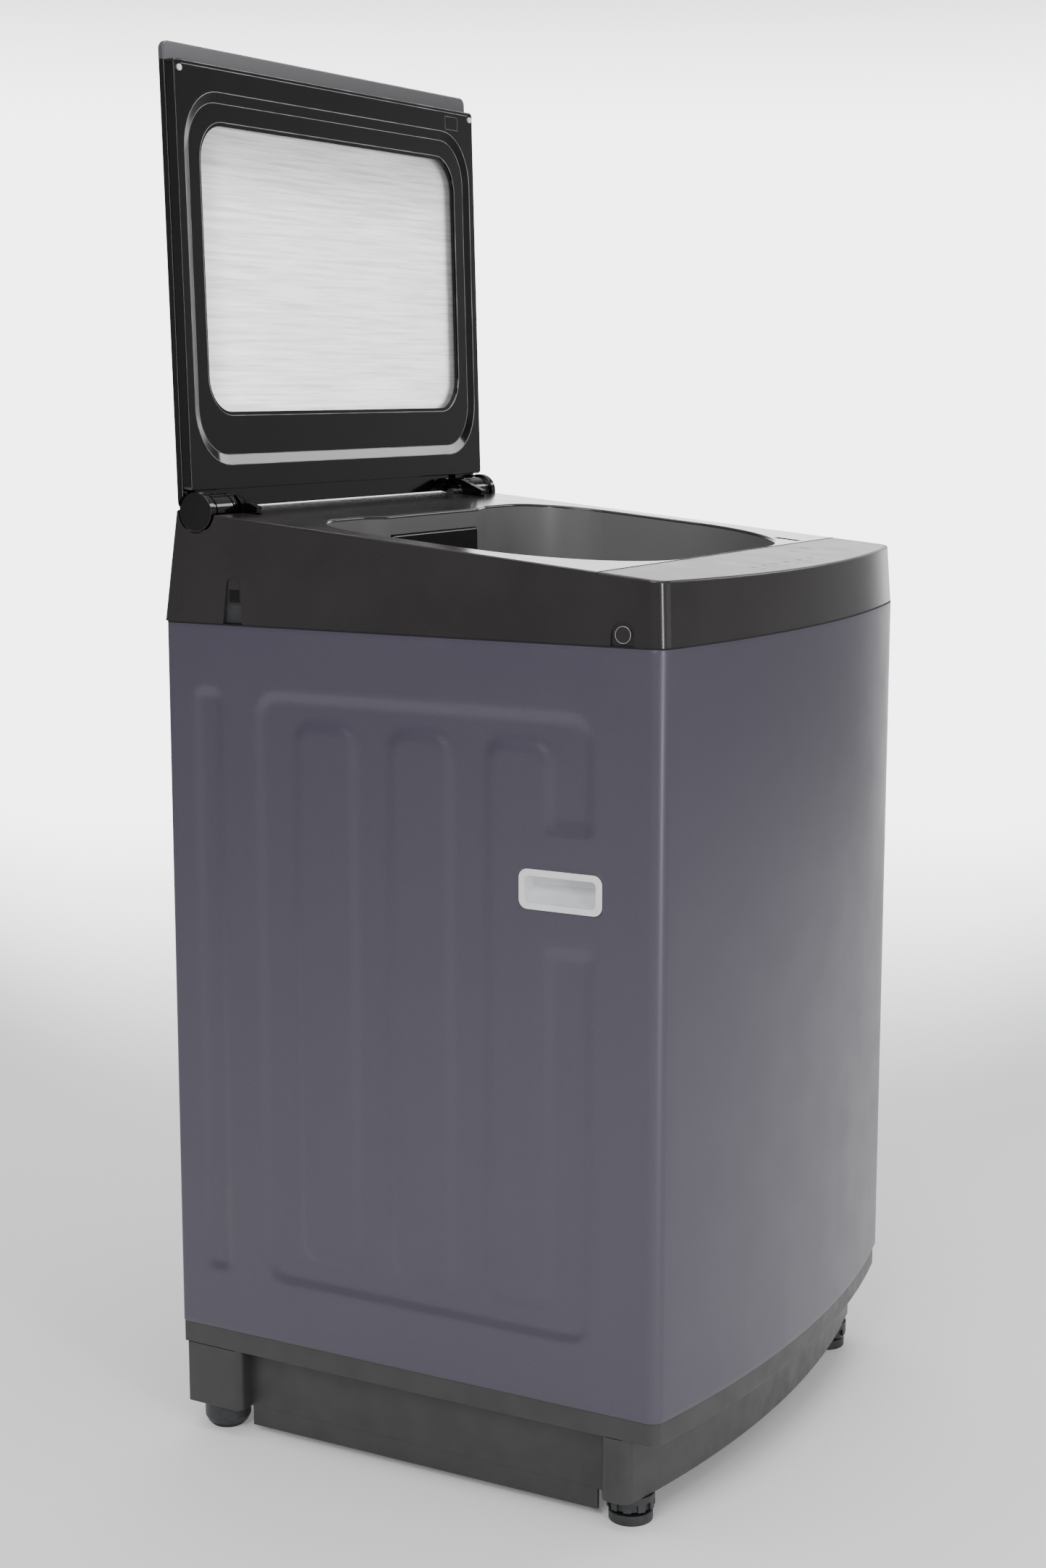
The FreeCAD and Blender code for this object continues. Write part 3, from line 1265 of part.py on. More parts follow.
def drive_belt():
    low = pulley_bottom_z + (pulley_width - belt_height) / 2.0 + 0.5
    height = belt_height - 1.0
    outer = Part.Face(belt_outline(belt_thickness, low)).extrude(V(0, 0, height))
    inner = Part.Face(belt_outline(fit_gap, low - 1.0)).extrude(V(0, 0, height + 2.0))
    return outer.cut(inner)


def motor():
    """Motor case with end shields and feet up to the support plate."""
    top = plate_bottom_z - 12.0
    low = top - motor_height
    case = disc(motor_radius, low + 6.0, top - 6.0, 0.0, motor_distance)
    for z0, z1 in ((low, low + 8.0), (top - 8.0, top)):
        shield = disc(motor_radius - 6.0, z0, z1, 0.0, motor_distance)
        case = case.fuse(shield)
    bore = disc(6.0 + 0.5, low - 1.0, top - 10.0, 0.0, motor_distance)
    feet = []
    for sx in (-1, 1):
        for sy in (-1, 1):
            x = sx * (motor_radius * 0.66)
            y = motor_distance + sy * (motor_radius * 0.66)
            feet.append(disc(7.0, top - 10.0, plate_bottom_z, x, y))
    return fuse(case, *feet).cut(bore)


def capacitor():
    x = gearbox_radius + 48.0
    can = disc(18.0, plate_bottom_z - 70.0, plate_bottom_z, x, 0.0)
    return can.makeFillet(2.0, [edge for edge in can.Edges if edge.Closed][:1])


def drain_pump():
    """Pump volute under the tub, with its inlet, its outlet and its motor can."""
    x, y = pump_place()
    top = tub_bottom_z
    volute = disc(pump_radius, top - 44.0, top - 16.0, x, y)
    room = disc(pump_radius - 4.0, top - 41.0, top - 19.0, x, y)
    neck = disc(16.0, top - 18.0, top, x, y)
    throat = disc(13.0, top - 22.0, top + 1.0, x, y)
    spout = Part.makeCylinder(10.0, 56.0, V(x, y + 24.0, top - 30.0), V(-1, 0, 0))
    spout_bore = Part.makeCylinder(7.5, 60.0, V(x, y + 24.0, top - 30.0), V(-1, 0, 0))
    can = disc(26.0, top - 80.0, top - 43.0, x, y)
    shaft_bore = disc(4.05, top - 60.0, top - 40.0, x, y)
    return fuse(volute, neck, spout, can).cut(fuse(room, throat)).cut(spout_bore).cut(shaft_bore)


def pump_place():
    return pump_inset - tub_radius, -plate_half_width - pump_radius - pump_gap


def pump_impeller():
    x, y = pump_place()
    top = tub_bottom_z
    wheel = disc(26.0, top - 40.0, top - 37.0, x, y)
    shaft = disc(4.0, top - 58.0, top - 36.0, x, y)
    hub = disc(7.0, top - 38.0, top - 26.0, x, y)
    vanes = []
    for index in range(5):
        vane = block(4.0, 25.0, -1.2, 1.2, top - 38.0, top - 26.0)
        vane.rotate(V(0, 0, 0), V(0, 0, 1), 72.0 * index)
        vane.translate(V(x, y, 0))
        vanes.append(vane)
    return fuse(wheel, shaft, hub, *vanes)


def main():
    os.makedirs("parts", exist_ok=True)
    save("cabinet", cabinet_shell())
    save("rear_cover", rear_cover())
    save("rear_cover_screws", *rear_screws())
    handle = side_handle()
    save("side_handle_left", handle)
    save("side_handle_right", mirrored(handle))
    save("base", base())
    (front_x, front_y), (rear_x, rear_y) = foot_places()
    save("front_foot_left", front_foot(-front_x, front_y))
    save("front_foot_right", front_foot(front_x, front_y))
    save("front_foot_nuts", foot_nut(-front_x, front_y), foot_nut(front_x, front_y))
    save("rear_foot_cups", rear_foot_cup(-rear_x, rear_y), rear_foot_cup(rear_x, rear_y))
    save("rear_foot_pads", rear_foot_pad(-rear_x, rear_y), rear_foot_pad(rear_x, rear_y))
    save("top_cover", top_cover())
    save("control_panel", control_panel())
    save("screw_caps", *both_sides(screw_cap()))
    tray, board = control_board()
    save("control_tray", tray)
    save("control_board", board)
    save("lid_lock", lid_lock())
    save("lid_cover", on_lid(lid_cover()))
    save("lid_frame", on_lid(lid_frame()))
    save("lid_window", on_lid(lid_window()))
    save("lid_hinge_left", on_lid(lid_hinge()))
    save("lid_hinge_right", on_lid(mirrored(lid_hinge())))
    save("hinge_caps", *[on_lid(cap) for cap in both_sides(hinge_cap())])
    x0 = -hinge_half + hinge_disc_width + 6.0
    pin = rod_along_x(hinge_pin_radius, x0, hinge_well()[2] + 9.0, hinge_y, z_hinge)
    save("hinge_pins", *both_sides(pin))
    bumper = disc(bumper_radius, -frame_face, -frame_face + bumper_height,
                  bumper_side_gap - lid_width / 2.0, frame_length - bumper_end_gap)
    save("lid_bumpers", *[on_lid(each) for each in both_sides(bumper)])
    save("dispenser_housing", dispenser_housing())
    save("detergent_drawer", detergent_drawer())
    save("inlet_valve", inlet_valve())
    save("drain_outlet", drain_outlet())
    save("tub", tub())
    save("tub_ring", tub_ring())
    save("suspension_brackets", *[suspension_bracket(x, y) for x, y in rod_places()])
    save("suspension_rods", *[suspension_rod(x, y) for x, y in rod_places()])
    save("suspension_springs", *[suspension_spring(x, y) for x, y in rod_places()])
    save("basket", basket())
    save("basket_floor", basket_floor_disc())
    save("basket_hub", basket_hub())
    save("balance_ring", balance_ring())
    save("lint_filter", lint_filter())
    save("pulsator", pulsator())
    top = basket_bottom_z + 5.0 + 3.0 + 24.0
    save("wash_shaft", disc(wash_shaft_radius, pulley_bottom_z - 4.0, top))
    save("pulsator_screw", fuse(disc(11.0, top + 6.0, top + 10.0), disc(4.0, top, top + 7.0)))
    save("spin_tube", ring(spin_tube_radius, wash_shaft_radius + running_gap,
                           gearbox_bottom_z + 2.0, basket_bottom_z + 5.0))
    save("bearings", bearing(gearbox_bottom_z), bearing(plate_bottom_z - 12.0))
    save("shaft_seal", ring(bearing_radius - 3.0, spin_tube_radius + running_gap, tub_bottom_z + 4.0,
                            tub_bottom_z + 13.0))
    save("support_plate", support_plate())
    save("gearbox", gearbox())
    save("drive_pulley", drive_pulley())
    save("motor_pulley", motor_pulley())
    save("drive_belt", drive_belt())
    save("motor", motor())
    save("capacitor", capacitor())
    save("drain_pump", drain_pump())
    save("pump_impeller", pump_impeller())
    print("nodes", node_count)


main()
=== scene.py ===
"""Top load washing machine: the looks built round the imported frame.

Every length is in metres in the frame's own axes: +Z up, -Y towards the bowed front, +X to the
right seen from the front.  The lid stands open at rest.
"""

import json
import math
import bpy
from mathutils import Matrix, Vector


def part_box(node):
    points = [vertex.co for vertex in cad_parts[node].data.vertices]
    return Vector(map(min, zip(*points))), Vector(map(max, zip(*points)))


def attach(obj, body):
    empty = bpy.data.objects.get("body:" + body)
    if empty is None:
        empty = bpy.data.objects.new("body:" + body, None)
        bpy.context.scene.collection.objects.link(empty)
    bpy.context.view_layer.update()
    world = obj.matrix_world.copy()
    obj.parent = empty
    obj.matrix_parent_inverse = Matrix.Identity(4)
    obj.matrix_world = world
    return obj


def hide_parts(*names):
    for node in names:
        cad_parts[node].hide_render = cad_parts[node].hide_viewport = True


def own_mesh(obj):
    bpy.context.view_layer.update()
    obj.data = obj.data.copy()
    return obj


bl_info = {
    "name": "Top Load Washing Machine",
    "version": (1, 0, 0),
    "blender": (4, 5, 0),
    "location": "3D View > Sidebar > Washer",
    "description": "Builds the pressed shell, covers, lid, drum and finishes of a washing machine",
    "category": "Object",
}

from collections import namedtuple

import bmesh
import bpy
from mathutils import Vector

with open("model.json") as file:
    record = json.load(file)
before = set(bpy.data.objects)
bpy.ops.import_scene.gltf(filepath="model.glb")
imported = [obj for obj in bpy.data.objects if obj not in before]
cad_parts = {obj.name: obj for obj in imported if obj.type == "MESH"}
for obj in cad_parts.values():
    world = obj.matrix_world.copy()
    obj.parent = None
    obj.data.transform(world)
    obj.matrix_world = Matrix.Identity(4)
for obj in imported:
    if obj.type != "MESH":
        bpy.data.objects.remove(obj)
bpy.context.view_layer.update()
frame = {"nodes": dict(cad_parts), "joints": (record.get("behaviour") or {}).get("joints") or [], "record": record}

MM = 0.001
RIBS = 3  # raised ribs on each side wall
BEYOND = 1.0  # further out than any piece of the machine reaches
BY_STRETCH = 1000.0  # pattern size where the finish's own stretch sets the spacing of its lines
SOFT = {"interpolation_type": "SMOOTHSTEP"}
record = frame["record"]
joints = {joint["name"]: joint for joint in frame["joints"]}


# ---- Frame measures -----------------------------------------------------------
def low_corner(node):
    """The low corner of a frame part's box."""
    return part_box(node)[0]


def high_corner(node):
    """The high corner of a frame part's box."""
    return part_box(node)[1]


HALF_WIDTH = high_corner("cabinet").x
CABINET_LOW = low_corner("cabinet").z
CABINET_HIGH = high_corner("cabinet").z
FRONT = low_corner("cabinet").y
REAR = high_corner("top_cover").y
HINGE = Vector(joints["lid_hinge"]["pos_m"])


# ---- Colour and node helpers --------------------------------------------------
Finish = namedtuple("Finish", "material tree shader vector")


def linear(hex_colour):
    """Linear RGBA of an sRGB hex colour such as "54535f"."""
    channels = []
    for start in (0, 2, 4):
        value = int(hex_colour[start:start + 2], 16) / 255.0
        channels.append(value / 12.92 if value <= 0.04045 else ((value + 0.055) / 1.055) ** 2.4)
    return (*channels, 1.0)


def add_node(tree, kind, settings=None, links=None):
    """Add a shader node, set its properties and input values, and link its inputs."""
    node = tree.nodes.new("ShaderNode" + kind)
    for name, value in (settings or {}).items():
        if isinstance(name, int) or name in node.inputs:
            node.inputs[name].default_value = value
        else:
            setattr(node, name, value)
    for name, output in (links or {}).items():
        tree.links.new(output, node.inputs[name])
    return node


def place(tree, stretch=(1.0, 1.0, 1.0)):
    """Object coordinates in metres, stretched for a pattern that runs one way."""
    coordinates = add_node(tree, "TexCoord")
    mapping = add_node(tree, "Mapping", {"Scale": stretch},
                       {"Vector": coordinates.outputs["Object"]})
    return mapping.outputs["Vector"]


def new_finish(name, hex_colour, roughness, metallic=0.0, ior=1.5, stretch=(1.0, 1.0, 1.0)):
    """A material with its shader's plain values set, ready for its patterns."""
    material = bpy.data.materials.new(name)
    material.use_nodes = True
    tree = material.node_tree
    shader = tree.nodes["Principled BSDF"]
    shader.inputs["Base Color"].default_value = linear(hex_colour)
    shader.inputs["Roughness"].default_value = roughness
    shader.inputs["Metallic"].default_value = metallic
    shader.inputs["IOR"].default_value = ior
    return Finish(material, tree, shader, place(tree, stretch))


def feed(finish, socket, output):
    """Link a pattern to a socket of the finish's shader."""
    finish.tree.links.new(output, finish.shader.inputs[socket])


def colour_by(finish, pattern, hex_low, hex_high, spread=(0.0, 1.0)):
    """Colour a finish between two shades, by a pattern's value."""
    ramp = add_node(finish.tree, "ValToRGB", links={"Fac": pattern})
    for end, position, hex_colour in zip(ramp.color_ramp.elements, spread, (hex_low, hex_high)):
        end.position = position
        end.color = linear(hex_colour)
    feed(finish, "Base Color", ramp.outputs["Color"])
    return ramp.outputs["Color"]


def vary(finish, size_mm, hex_low, hex_high, spread=(0.35, 0.65)):
    """Let the colour wander between two near shades over a size in millimetres."""
    noise = add_node(finish.tree, "TexNoise", {"Scale": 1.0 / (size_mm * MM), "Detail": 3.0},
                     {"Vector": finish.vector}).outputs["Fac"]
    colour_by(finish, noise, hex_low, hex_high, spread)
    return noise


def polish(finish, size_mm, low, high):
    """Let the roughness wander between two values over a size in millimetres."""
    noise = add_node(finish.tree, "TexNoise", {"Scale": 1.0 / (size_mm * MM), "Detail": 4.0},
                     {"Vector": finish.vector})
    span = add_node(finish.tree, "MapRange",
                    {"From Min": 0.3, "From Max": 0.7, "To Min": low, "To Max": high},
                    {"Value": noise.outputs["Fac"]})
    feed(finish, "Roughness", span.outputs["Result"])


def relief(finish, height, depth_mm):
    """Raise a pattern out of a finish's surface, to a depth in millimetres."""
    bump = add_node(finish.tree, "Bump", {"Strength": 1.0, "Distance": depth_mm * MM},
                    {"Height": height})
    feed(finish, "Normal", bump.outputs["Normal"])


def grain(finish, size_mm, depth_mm):
    """A fine even noise relief, as spark eroded moulds and enamel leave."""
    noise = add_node(finish.tree, "TexNoise", {"Scale": 1.0 / (size_mm * MM), "Detail": 2.0},
                     {"Vector": finish.vector})
    relief(finish, noise.outputs["Fac"], depth_mm)


def within(finish, vector, low, high):
    """1 inside a box between two corners, 0 outside it."""
    split = add_node(finish.tree, "SeparateXYZ", links={"Vector": vector})
    inside = None
    for axis, start, end in zip("XYZ", low, high):
        between = add_node(finish.tree, "Math",
                           {"operation": "COMPARE", 1: (start + end) / 2.0, 2: (end - start) / 2.0},
                           {0: split.outputs[axis]})
        if inside is None:
            inside = between.outputs["Value"]
        else:
            both = add_node(finish.tree, "Math", {"operation": "MULTIPLY"},
                            {0: inside, 1: between.outputs["Value"]})
            inside = both.outputs["Value"]
    return inside


def paint_paler_zone(finish, mask, hex_colour, roughness):
    """Where the mask is 1, take another roughness, and another colour that paints light onto that zone."""
    # A Mix node keeps a separate set of sockets for each kind of value it mixes.
    for socket, value, kind, (first, second, result) in (
            ("Base Color", linear(hex_colour), "RGBA", (6, 7, 2)),
            ("Roughness", roughness, "FLOAT", (2, 3, 0))):
        plain = finish.shader.inputs[socket].links[0].from_socket
        mix = add_node(finish.tree, "Mix", {"data_type": kind, second: value},
                       {0: mask, first: plain})
        feed(finish, socket, mix.outputs[result])


# ---- Finishes -----------------------------------------------------------------
def baked_enamel():
    """Metallic enamel baked on steel sheet, sprayed.

    To the eye a satin slate with a soft wide highlight, tiny flakes and faint orange peel.
    """
    enamel = new_finish("Baked metallic enamel", "464350", 0.36, 0.2)
    flakes = add_node(enamel.tree, "TexVoronoi", {"Scale": 1.0 / (0.9 * MM)},
                      {"Vector": enamel.vector})
    shade = add_node(enamel.tree, "MapRange", {"To Min": 0.93, "To Max": 1.07},
                     {"Value": flakes.outputs["Color"]})
    colour = bpy.context.scene.washer_finishes.cabinet
    tint = add_node(enamel.tree, "VectorMath", {"operation": "SCALE", 0: colour[:3]},
                    {"Scale": shade.outputs["Result"]})
    feed(enamel, "Base Color", tint.outputs["Vector"])
    enamel.shader.inputs["Coat Weight"].default_value = 0.15
    enamel.shader.inputs["Coat Roughness"].default_value = 0.28
    polish(enamel, 60.0, 0.34, 0.40)
    grain(enamel, 2.2, 0.012)
    return enamel


def galvanised_sheet():
    """Zinc dipped steel sheet: matt grey with the faint flower pattern of the zinc."""
    zinc = new_finish("Galvanised steel sheet", "9a9c9e", 0.45, 0.9)
    flowers = add_node(zinc.tree, "TexVoronoi", {"Scale": 1.0 / (9.0 * MM)},
                       {"Vector": zinc.vector})
    colour_by(zinc, flowers.outputs["Color"], "828588", "929497")
    polish(zinc, 14.0, 0.40, 0.48)
    grain(zinc, 1.2, 0.01)
    return zinc


def moulded_polypropylene(name, hex_low, hex_high, roughness):
    """Polypropylene moulded in a spark eroded tool: dull, even, with a fine grain."""
    plastic = new_finish(name, hex_low, roughness, 0.0, 1.49)
    vary(plastic, 35.0, hex_low, hex_high)
    polish(plastic, 20.0, roughness - 0.05, roughness + 0.06)
    grain(plastic, 0.8, 0.03)
    return plastic


def glossy_abs(name, hex_low, hex_high, roughness):
    """ABS moulded in a polished tool: deep colour under a clear, slightly wavy gloss."""
    plastic = new_finish(name, hex_low, roughness, 0.0, 1.54)
    vary(plastic, 90.0, hex_low, hex_high)
    polish(plastic, 45.0, roughness * 0.95, roughness * 1.07)
    grain(plastic, 18.0, 0.008)
    return plastic


def cover_abs():
    """The top cover's ABS: polished outside, and rougher down the throat's wall, which is also painted paler there
    as painted light from above.
    """
    plastic = glossy_abs("Charcoal polished ABS", "232020", "282525", 0.19)
    shell = bpy.context.scene.washer_shell
    split = add_node(plastic.tree, "SeparateXYZ", links={"Vector": plastic.vector})
    # The painted paler band starts a set depth below the deck, which slopes: heights are taken from its plane.
    height = add_node(plastic.tree, "VectorMath",
                      {"operation": "DOT_PRODUCT", 1: (0.0, -math.tan(shell.deck_slope), 1.0)},
                      {0: plastic.vector})
    level_place = add_node(plastic.tree, "CombineXYZ",
                           links={"X": split.outputs["X"], "Y": split.outputs["Y"],
                                  "Z": height.outputs["Value"]})
    level = on_deck(0.0, 0.0).z
    side = HALF_WIDTH - shell.throat_side
    mask = within(plastic, level_place.outputs["Vector"],
                  (-side, FRONT + shell.throat_front, level - shell.throat_depth),
                  (side, REAR - shell.throat_rear, level - shell.throat_rim))
    # Painted light: the throat's wall is painted a paler grey, standing in for the light from above and the
    # reflections it catches.
    paint_paler_zone(plastic, mask, "666666", 0.4)
    return plastic


def lid_cover_abs():
    """The lid's outer moulding: polished black, with a finger lip along its end that is rougher and painted a
    paler grey, as painted sheen.
    """
    plastic = glossy_abs("Black polished ABS, lip with painted sheen", "050505", "080808", 0.1)
    lip_low = high_corner("lid_frame").z - 1.0 * MM
    mask = within(plastic, plastic.vector, (-BEYOND, -BEYOND, lip_low),
                  (BEYOND, BEYOND, lip_low + BEYOND))
    # Painted sheen: the lip is painted paler grey, standing in for the glossy reflection it shows.
    paint_paler_zone(plastic, mask, "4c4c50", 0.25)
    return plastic


def painted_edge_highlight():
    """Painted highlight: a thin pale line along each step, standing in for the light that the edges catch."""
    plastic = new_finish("Painted edge highlight ABS", "6f7072", 0.25, 0.0, 1.54)
    vary(plastic, 40.0, "5a5b5d", "8b8c8e")
    return plastic


def lined_glass():
    """Toughened glass with fine white printed lines on its back.

    To the eye a pale silvery pane, a little darker towards its rim, with hair lines across it.
    """
    glass = new_finish("Toughened lined glass", "f2f3f3", 0.3, 0.0, 1.52)
    # Streaks near 4 mm apart up the pane; real ones are near 1 mm, too fine to show.
    streaks = add_node(glass.tree, "TexNoise", {"Scale": 1.0, "Detail": 3.0, "Roughness": 0.7},
                       {"Vector": place(glass.tree, (7.0, 7.0, 1.0 / (4.0 * MM)))}).outputs["Fac"]
    lines = colour_by(glass, streaks, "cdcfd0", "ffffff", (0.34, 0.6))
    split = add_node(glass.tree, "SeparateXYZ", links={"Vector": glass.vector})
    low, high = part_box("lid_window")
    rim = 9.0 * MM
    # Painted shade: the pane's colour darkens towards its top and its left side.
    rise = add_node(glass.tree, "MapRange",
                    {**SOFT, "From Min": high.z - 110.0 * MM, "From Max": high.z - rim,
                     "To Min": 1.0, "To Max": 0.5}, {"Value": split.outputs["Z"]})
    side = add_node(glass.tree, "MapRange",
                    {**SOFT, "From Min": low.x + rim, "From Max": low.x + 60.0 * MM,
                     "To Min": 0.7, "To Max": 1.0}, {"Value": split.outputs["X"]})
    shade = add_node(glass.tree, "Math", {"operation": "MULTIPLY"},
                     {0: rise.outputs["Result"], 1: side.outputs["Result"]})
    tint = add_node(glass.tree, "VectorMath", {"operation": "SCALE"},
                    {0: lines, "Scale": shade.outputs["Value"]})
    feed(glass, "Base Color", tint.outputs["Vector"])
    glass.shader.inputs["Transmission Weight"].default_value = 0.8
    glass.shader.inputs["Coat Weight"].default_value = 0.4
    relief(glass, streaks, 0.3)
    return glass


def moulded_rubber(name, hex_low, hex_high):
    """Moulded rubber: dead matt with a soft, slightly dusty surface."""
    rubber = new_finish(name, hex_low, 0.75, 0.0, 1.52)
    vary(rubber, 6.0, hex_low, hex_high)
    grain(rubber, 0.6, 0.04)
    return rubber


def glass_filled_nylon():
    """Nylon with glass fibre, moulded: dark, flat and faintly streaked by the fibres."""
    nylon = new_finish("Glass filled nylon", "232426", 0.5, 0.0, 1.53, (1.0, 1.0, 3.0))
    vary(nylon, 5.0, "1e1f21", "2c2d2f")
    grain(nylon, 0.9, 0.05)
    return nylon


def brushed_stainless():
    """Stainless sheet brushed one way: bright, with a silky highlight across the brush lines."""
    steel = new_finish("Brushed stainless sheet", "cacacb", 0.28, 1.0, stretch=(25.0, 25.0, 700.0))
    lines = vary(steel, BY_STRETCH, "a8a8a9", "cacacb", (0.3, 0.7))
    span = add_node(steel.tree, "MapRange", {"To Min": 0.2, "To Max": 0.36}, {"Value": lines})
    feed(steel, "Roughness", span.outputs["Result"])
    relief(steel, lines, 0.02)
    return steel


def ground_steel():
    """Steel bar ground round: fine rings round its axis and a grey shine."""
    steel = new_finish("Ground steel", "8d8e90", 0.3, 1.0, stretch=(30.0, 30.0, 900.0))
    relief(steel, vary(steel, BY_STRETCH, "7d7e80", "a2a3a5"), 0.01)
    return steel


def cast_aluminium():
    """Die cast aluminium, left as cast: pale grey, dull, with a fine pebbled skin."""
    metal = new_finish("Cast aluminium", "a9abad", 0.48, 1.0)
    vary(metal, 12.0, "97999b", "b8babc")
    grain(metal, 1.4, 0.06)
    return metal


def stove_enamel():
    """Black stove enamel over stacked laminations: dark satin with fine stacked lines."""
    enamel = new_finish("Black stove enamel", "1b1c1e", 0.4, stretch=(20.0, 20.0, 1400.0))
    relief(enamel, vary(enamel, BY_STRETCH, "17181a", "26272a"), 0.08)
    return enamel


def solder_mask():
    """Green solder mask over copper tracks: glossy green with lighter tracks under it."""
    mask = new_finish("Green solder mask", "1f5c33", 0.3)
    tracks = add_node(mask.tree, "TexBrick",
                      {"Scale": 1.0 / (16.0 * MM), "Mortar Size": 0.03, "Mortar": linear("3c8a55"),
                       "Color1": linear("1d5630"), "Color2": linear("215f36")},
                      {"Vector": mask.vector})
    feed(mask, "Base Color", tracks.outputs["Color"])
    relief(mask, tracks.outputs["Fac"], 0.04)
    return mask


def screen_print():
    """Screen printed ink on the panel film: a thin, flat, light grey line."""
    ink = new_finish("Screen print ink", "8e8d8f", 0.45)
    vary(ink, 2.0, "858486", "989799")
    return ink


def dark_seam():
    """Black foam strip in a joint of the cover: no shine, open pores."""
    foam = new_finish("Black foam strip", "0d0d0e", 0.9, 0.0, 1.45)
    vary(foam, 3.0, "0a0a0b", "141415")
    grain(foam, 0.8, 0.1)
    return foam


def studio_paper():
    """Matt paper sweep, lit from behind on the side that faces the front left of the machine.

    Pale and even underfoot, it brightens to white with distance on its lit side.
    """
    look = bpy.context.scene.washer_studio
    paper = new_finish("Studio paper", "f4f4f4", 0.9, 0.0, 1.4)
    tree = paper.tree
    flat = add_node(tree, "VectorMath", {"operation": "MULTIPLY", 1: (1.0, 1.0, 0.0)},
                    {0: paper.vector}).outputs["Vector"]
    reach = add_node(tree, "VectorMath", {"operation": "LENGTH"}, {0: flat}).outputs["Value"]
    away = add_node(tree, "VectorMath", {"operation": "NORMALIZE"}, {0: flat})
    azimuth = look.view_azimuth
    facing = add_node(tree, "VectorMath",
                      {"operation": "DOT_PRODUCT", 1: (-math.sin(azimuth), math.cos(azimuth), 0.0)},
                      {0: away.outputs["Vector"]})
    height = add_node(tree, "SeparateXYZ", links={"Vector": paper.vector})
    far = add_node(tree, "MapRange", {**SOFT, "From Min": 0.8, "From Max": 4.5}, {"Value": reach})
    low = add_node(tree, "MapRange",
                   {**SOFT, "From Min": 2.1, "From Max": 3.5, "To Min": 1.0, "To Max": 0.12},
                   {"Value": height.outputs["Z"]})
    lit_side = add_node(tree, "MapRange",
                        {**SOFT, "From Min": math.cos(look.lit_half), "To Min": look.dim_share,
                         "From Max": math.cos(look.lit_core)}, {"Value": facing.outputs["Value"]})
    bright = far.outputs["Result"]
    for share in (low, lit_side):
        bright = add_node(tree, "Math", {"operation": "MULTIPLY"},
                          {0: bright, 1: share.outputs["Result"]}).outputs["Value"]
    pool = add_node(tree, "MapRange",
                    {**SOFT, "From Min": 2.2, "From Max": 4.6, "To Min": look.floor_glow,
                     "To Max": 0.0}, {"Value": reach})
    total = add_node(tree, "Math", {"operation": "MULTIPLY_ADD", 1: look.backdrop},
                     {0: bright, 2: pool.outputs["Result"]})
    feed(paper, "Emission Strength", total.outputs["Value"])
    paper.shader.inputs["Emission Color"].default_value = (1.0, 1.0, 1.0, 1.0)
    outwards = add_node(tree, "MapRange", {"From Min": 2.6, "From Max": 5.0}, {"Value": reach})
    shades = add_node(tree, "ValToRGB", links={"Fac": outwards.outputs["Result"]})
    shades.color_ramp.elements[0].color = look.floor_colour
    shades.color_ramp.elements[1].color = linear("808080")
    feed(paper, "Base Color", shades.outputs["Color"])
    return paper


def finish_of_slot():
    """One material for each of the record's slots."""
    made = {
        "cabinet_paint": baked_enamel(),
        "galvanised_steel": galvanised_sheet(),
        "base_plastic": moulded_polypropylene("Charcoal polypropylene", "2d2d2e", "333334", 0.42),
        "cover_plastic": cover_abs(),
        "panel_plastic": glossy_abs("Hard coated panel film", "1f1e1e", "242223", 0.3),
        "lid_plastic": glossy_abs("Black polished ABS", "050505", "080808", 0.1),
        "lid_glass": lined_glass(),
        "handle_plastic": moulded_polypropylene("Light grey polypropylene", "d6d7da", "e0e1e3",
                                                0.38),
        "bumper_rubber": moulded_rubber("White bumper rubber", "e3e3e1", "ededeb"),
        "foot_rubber": moulded_rubber("Black rubber", "141414", "1e1e1e"),
        "foot_plastic": glass_filled_nylon(),
        "tub_plastic": moulded_polypropylene("Pale polypropylene", "c2c2c0", "cfcfcd", 0.4),
        "stainless": brushed_stainless(),
        "shaft_steel": ground_steel(),
        "pulsator_plastic": glossy_abs("Silver grey ABS", "8d9093", "9a9da0", 0.25),
        "cast_aluminium": cast_aluminium(),
        "motor_steel": stove_enamel(),
        "belt_rubber": moulded_rubber("Belt rubber", "101010", "1a1a1a"),
        "board_laminate": solder_mask(),
        "valve_plastic": moulded_polypropylene("White nylon", "d8d8d4", "e2e2de", 0.35),
    }
    return {slot: finish.material for slot, finish in made.items()}


finishes = {}


def slot_of(node):
    """The record's material slot of a frame part."""
    return next(part["material_slot"] for part in record["subparts"] if part["node"] == node)


def body_of(node):
    """The body that a frame part moves with."""
    return next(body for body, nodes in record["behaviour"]["bodies"].items() if node in nodes)


# ---- Mesh helpers -------------------------------------------------------------
def settle(piece, material, body):
    """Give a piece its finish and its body."""
    piece.data.materials.clear()
    piece.data.materials.append(material)
    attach(piece, body)
    return piece


def settle_beside(piece, finish, node):
    """Give an added piece its own finish, on the body of a frame part."""
    return settle(piece, finish.material, body_of(node))


def in_scene(name, data):
    """An object in the scene that holds a mesh, curve, lamp or camera."""
    thing = bpy.data.objects.new(name, data)
    bpy.context.scene.collection.objects.link(thing)
    return thing


def as_piece(name, work):
    """Turn a bmesh into a smooth shaded object in the scene."""
    mesh = bpy.data.meshes.new(name)
    work.to_mesh(mesh)
    work.free()
    mesh.shade_smooth()
    return in_scene(name, mesh)


def skin(work, rows, closed=False):
    """Faces between rows of vertices, and on from each row's last one to its first if closed."""
    for low, high in zip(rows, rows[1:]):
        for index in range(len(low) if closed else len(low) - 1):
            after = (index + 1) % len(low)
            work.faces.new((low[index], low[after], high[after], high[index]))


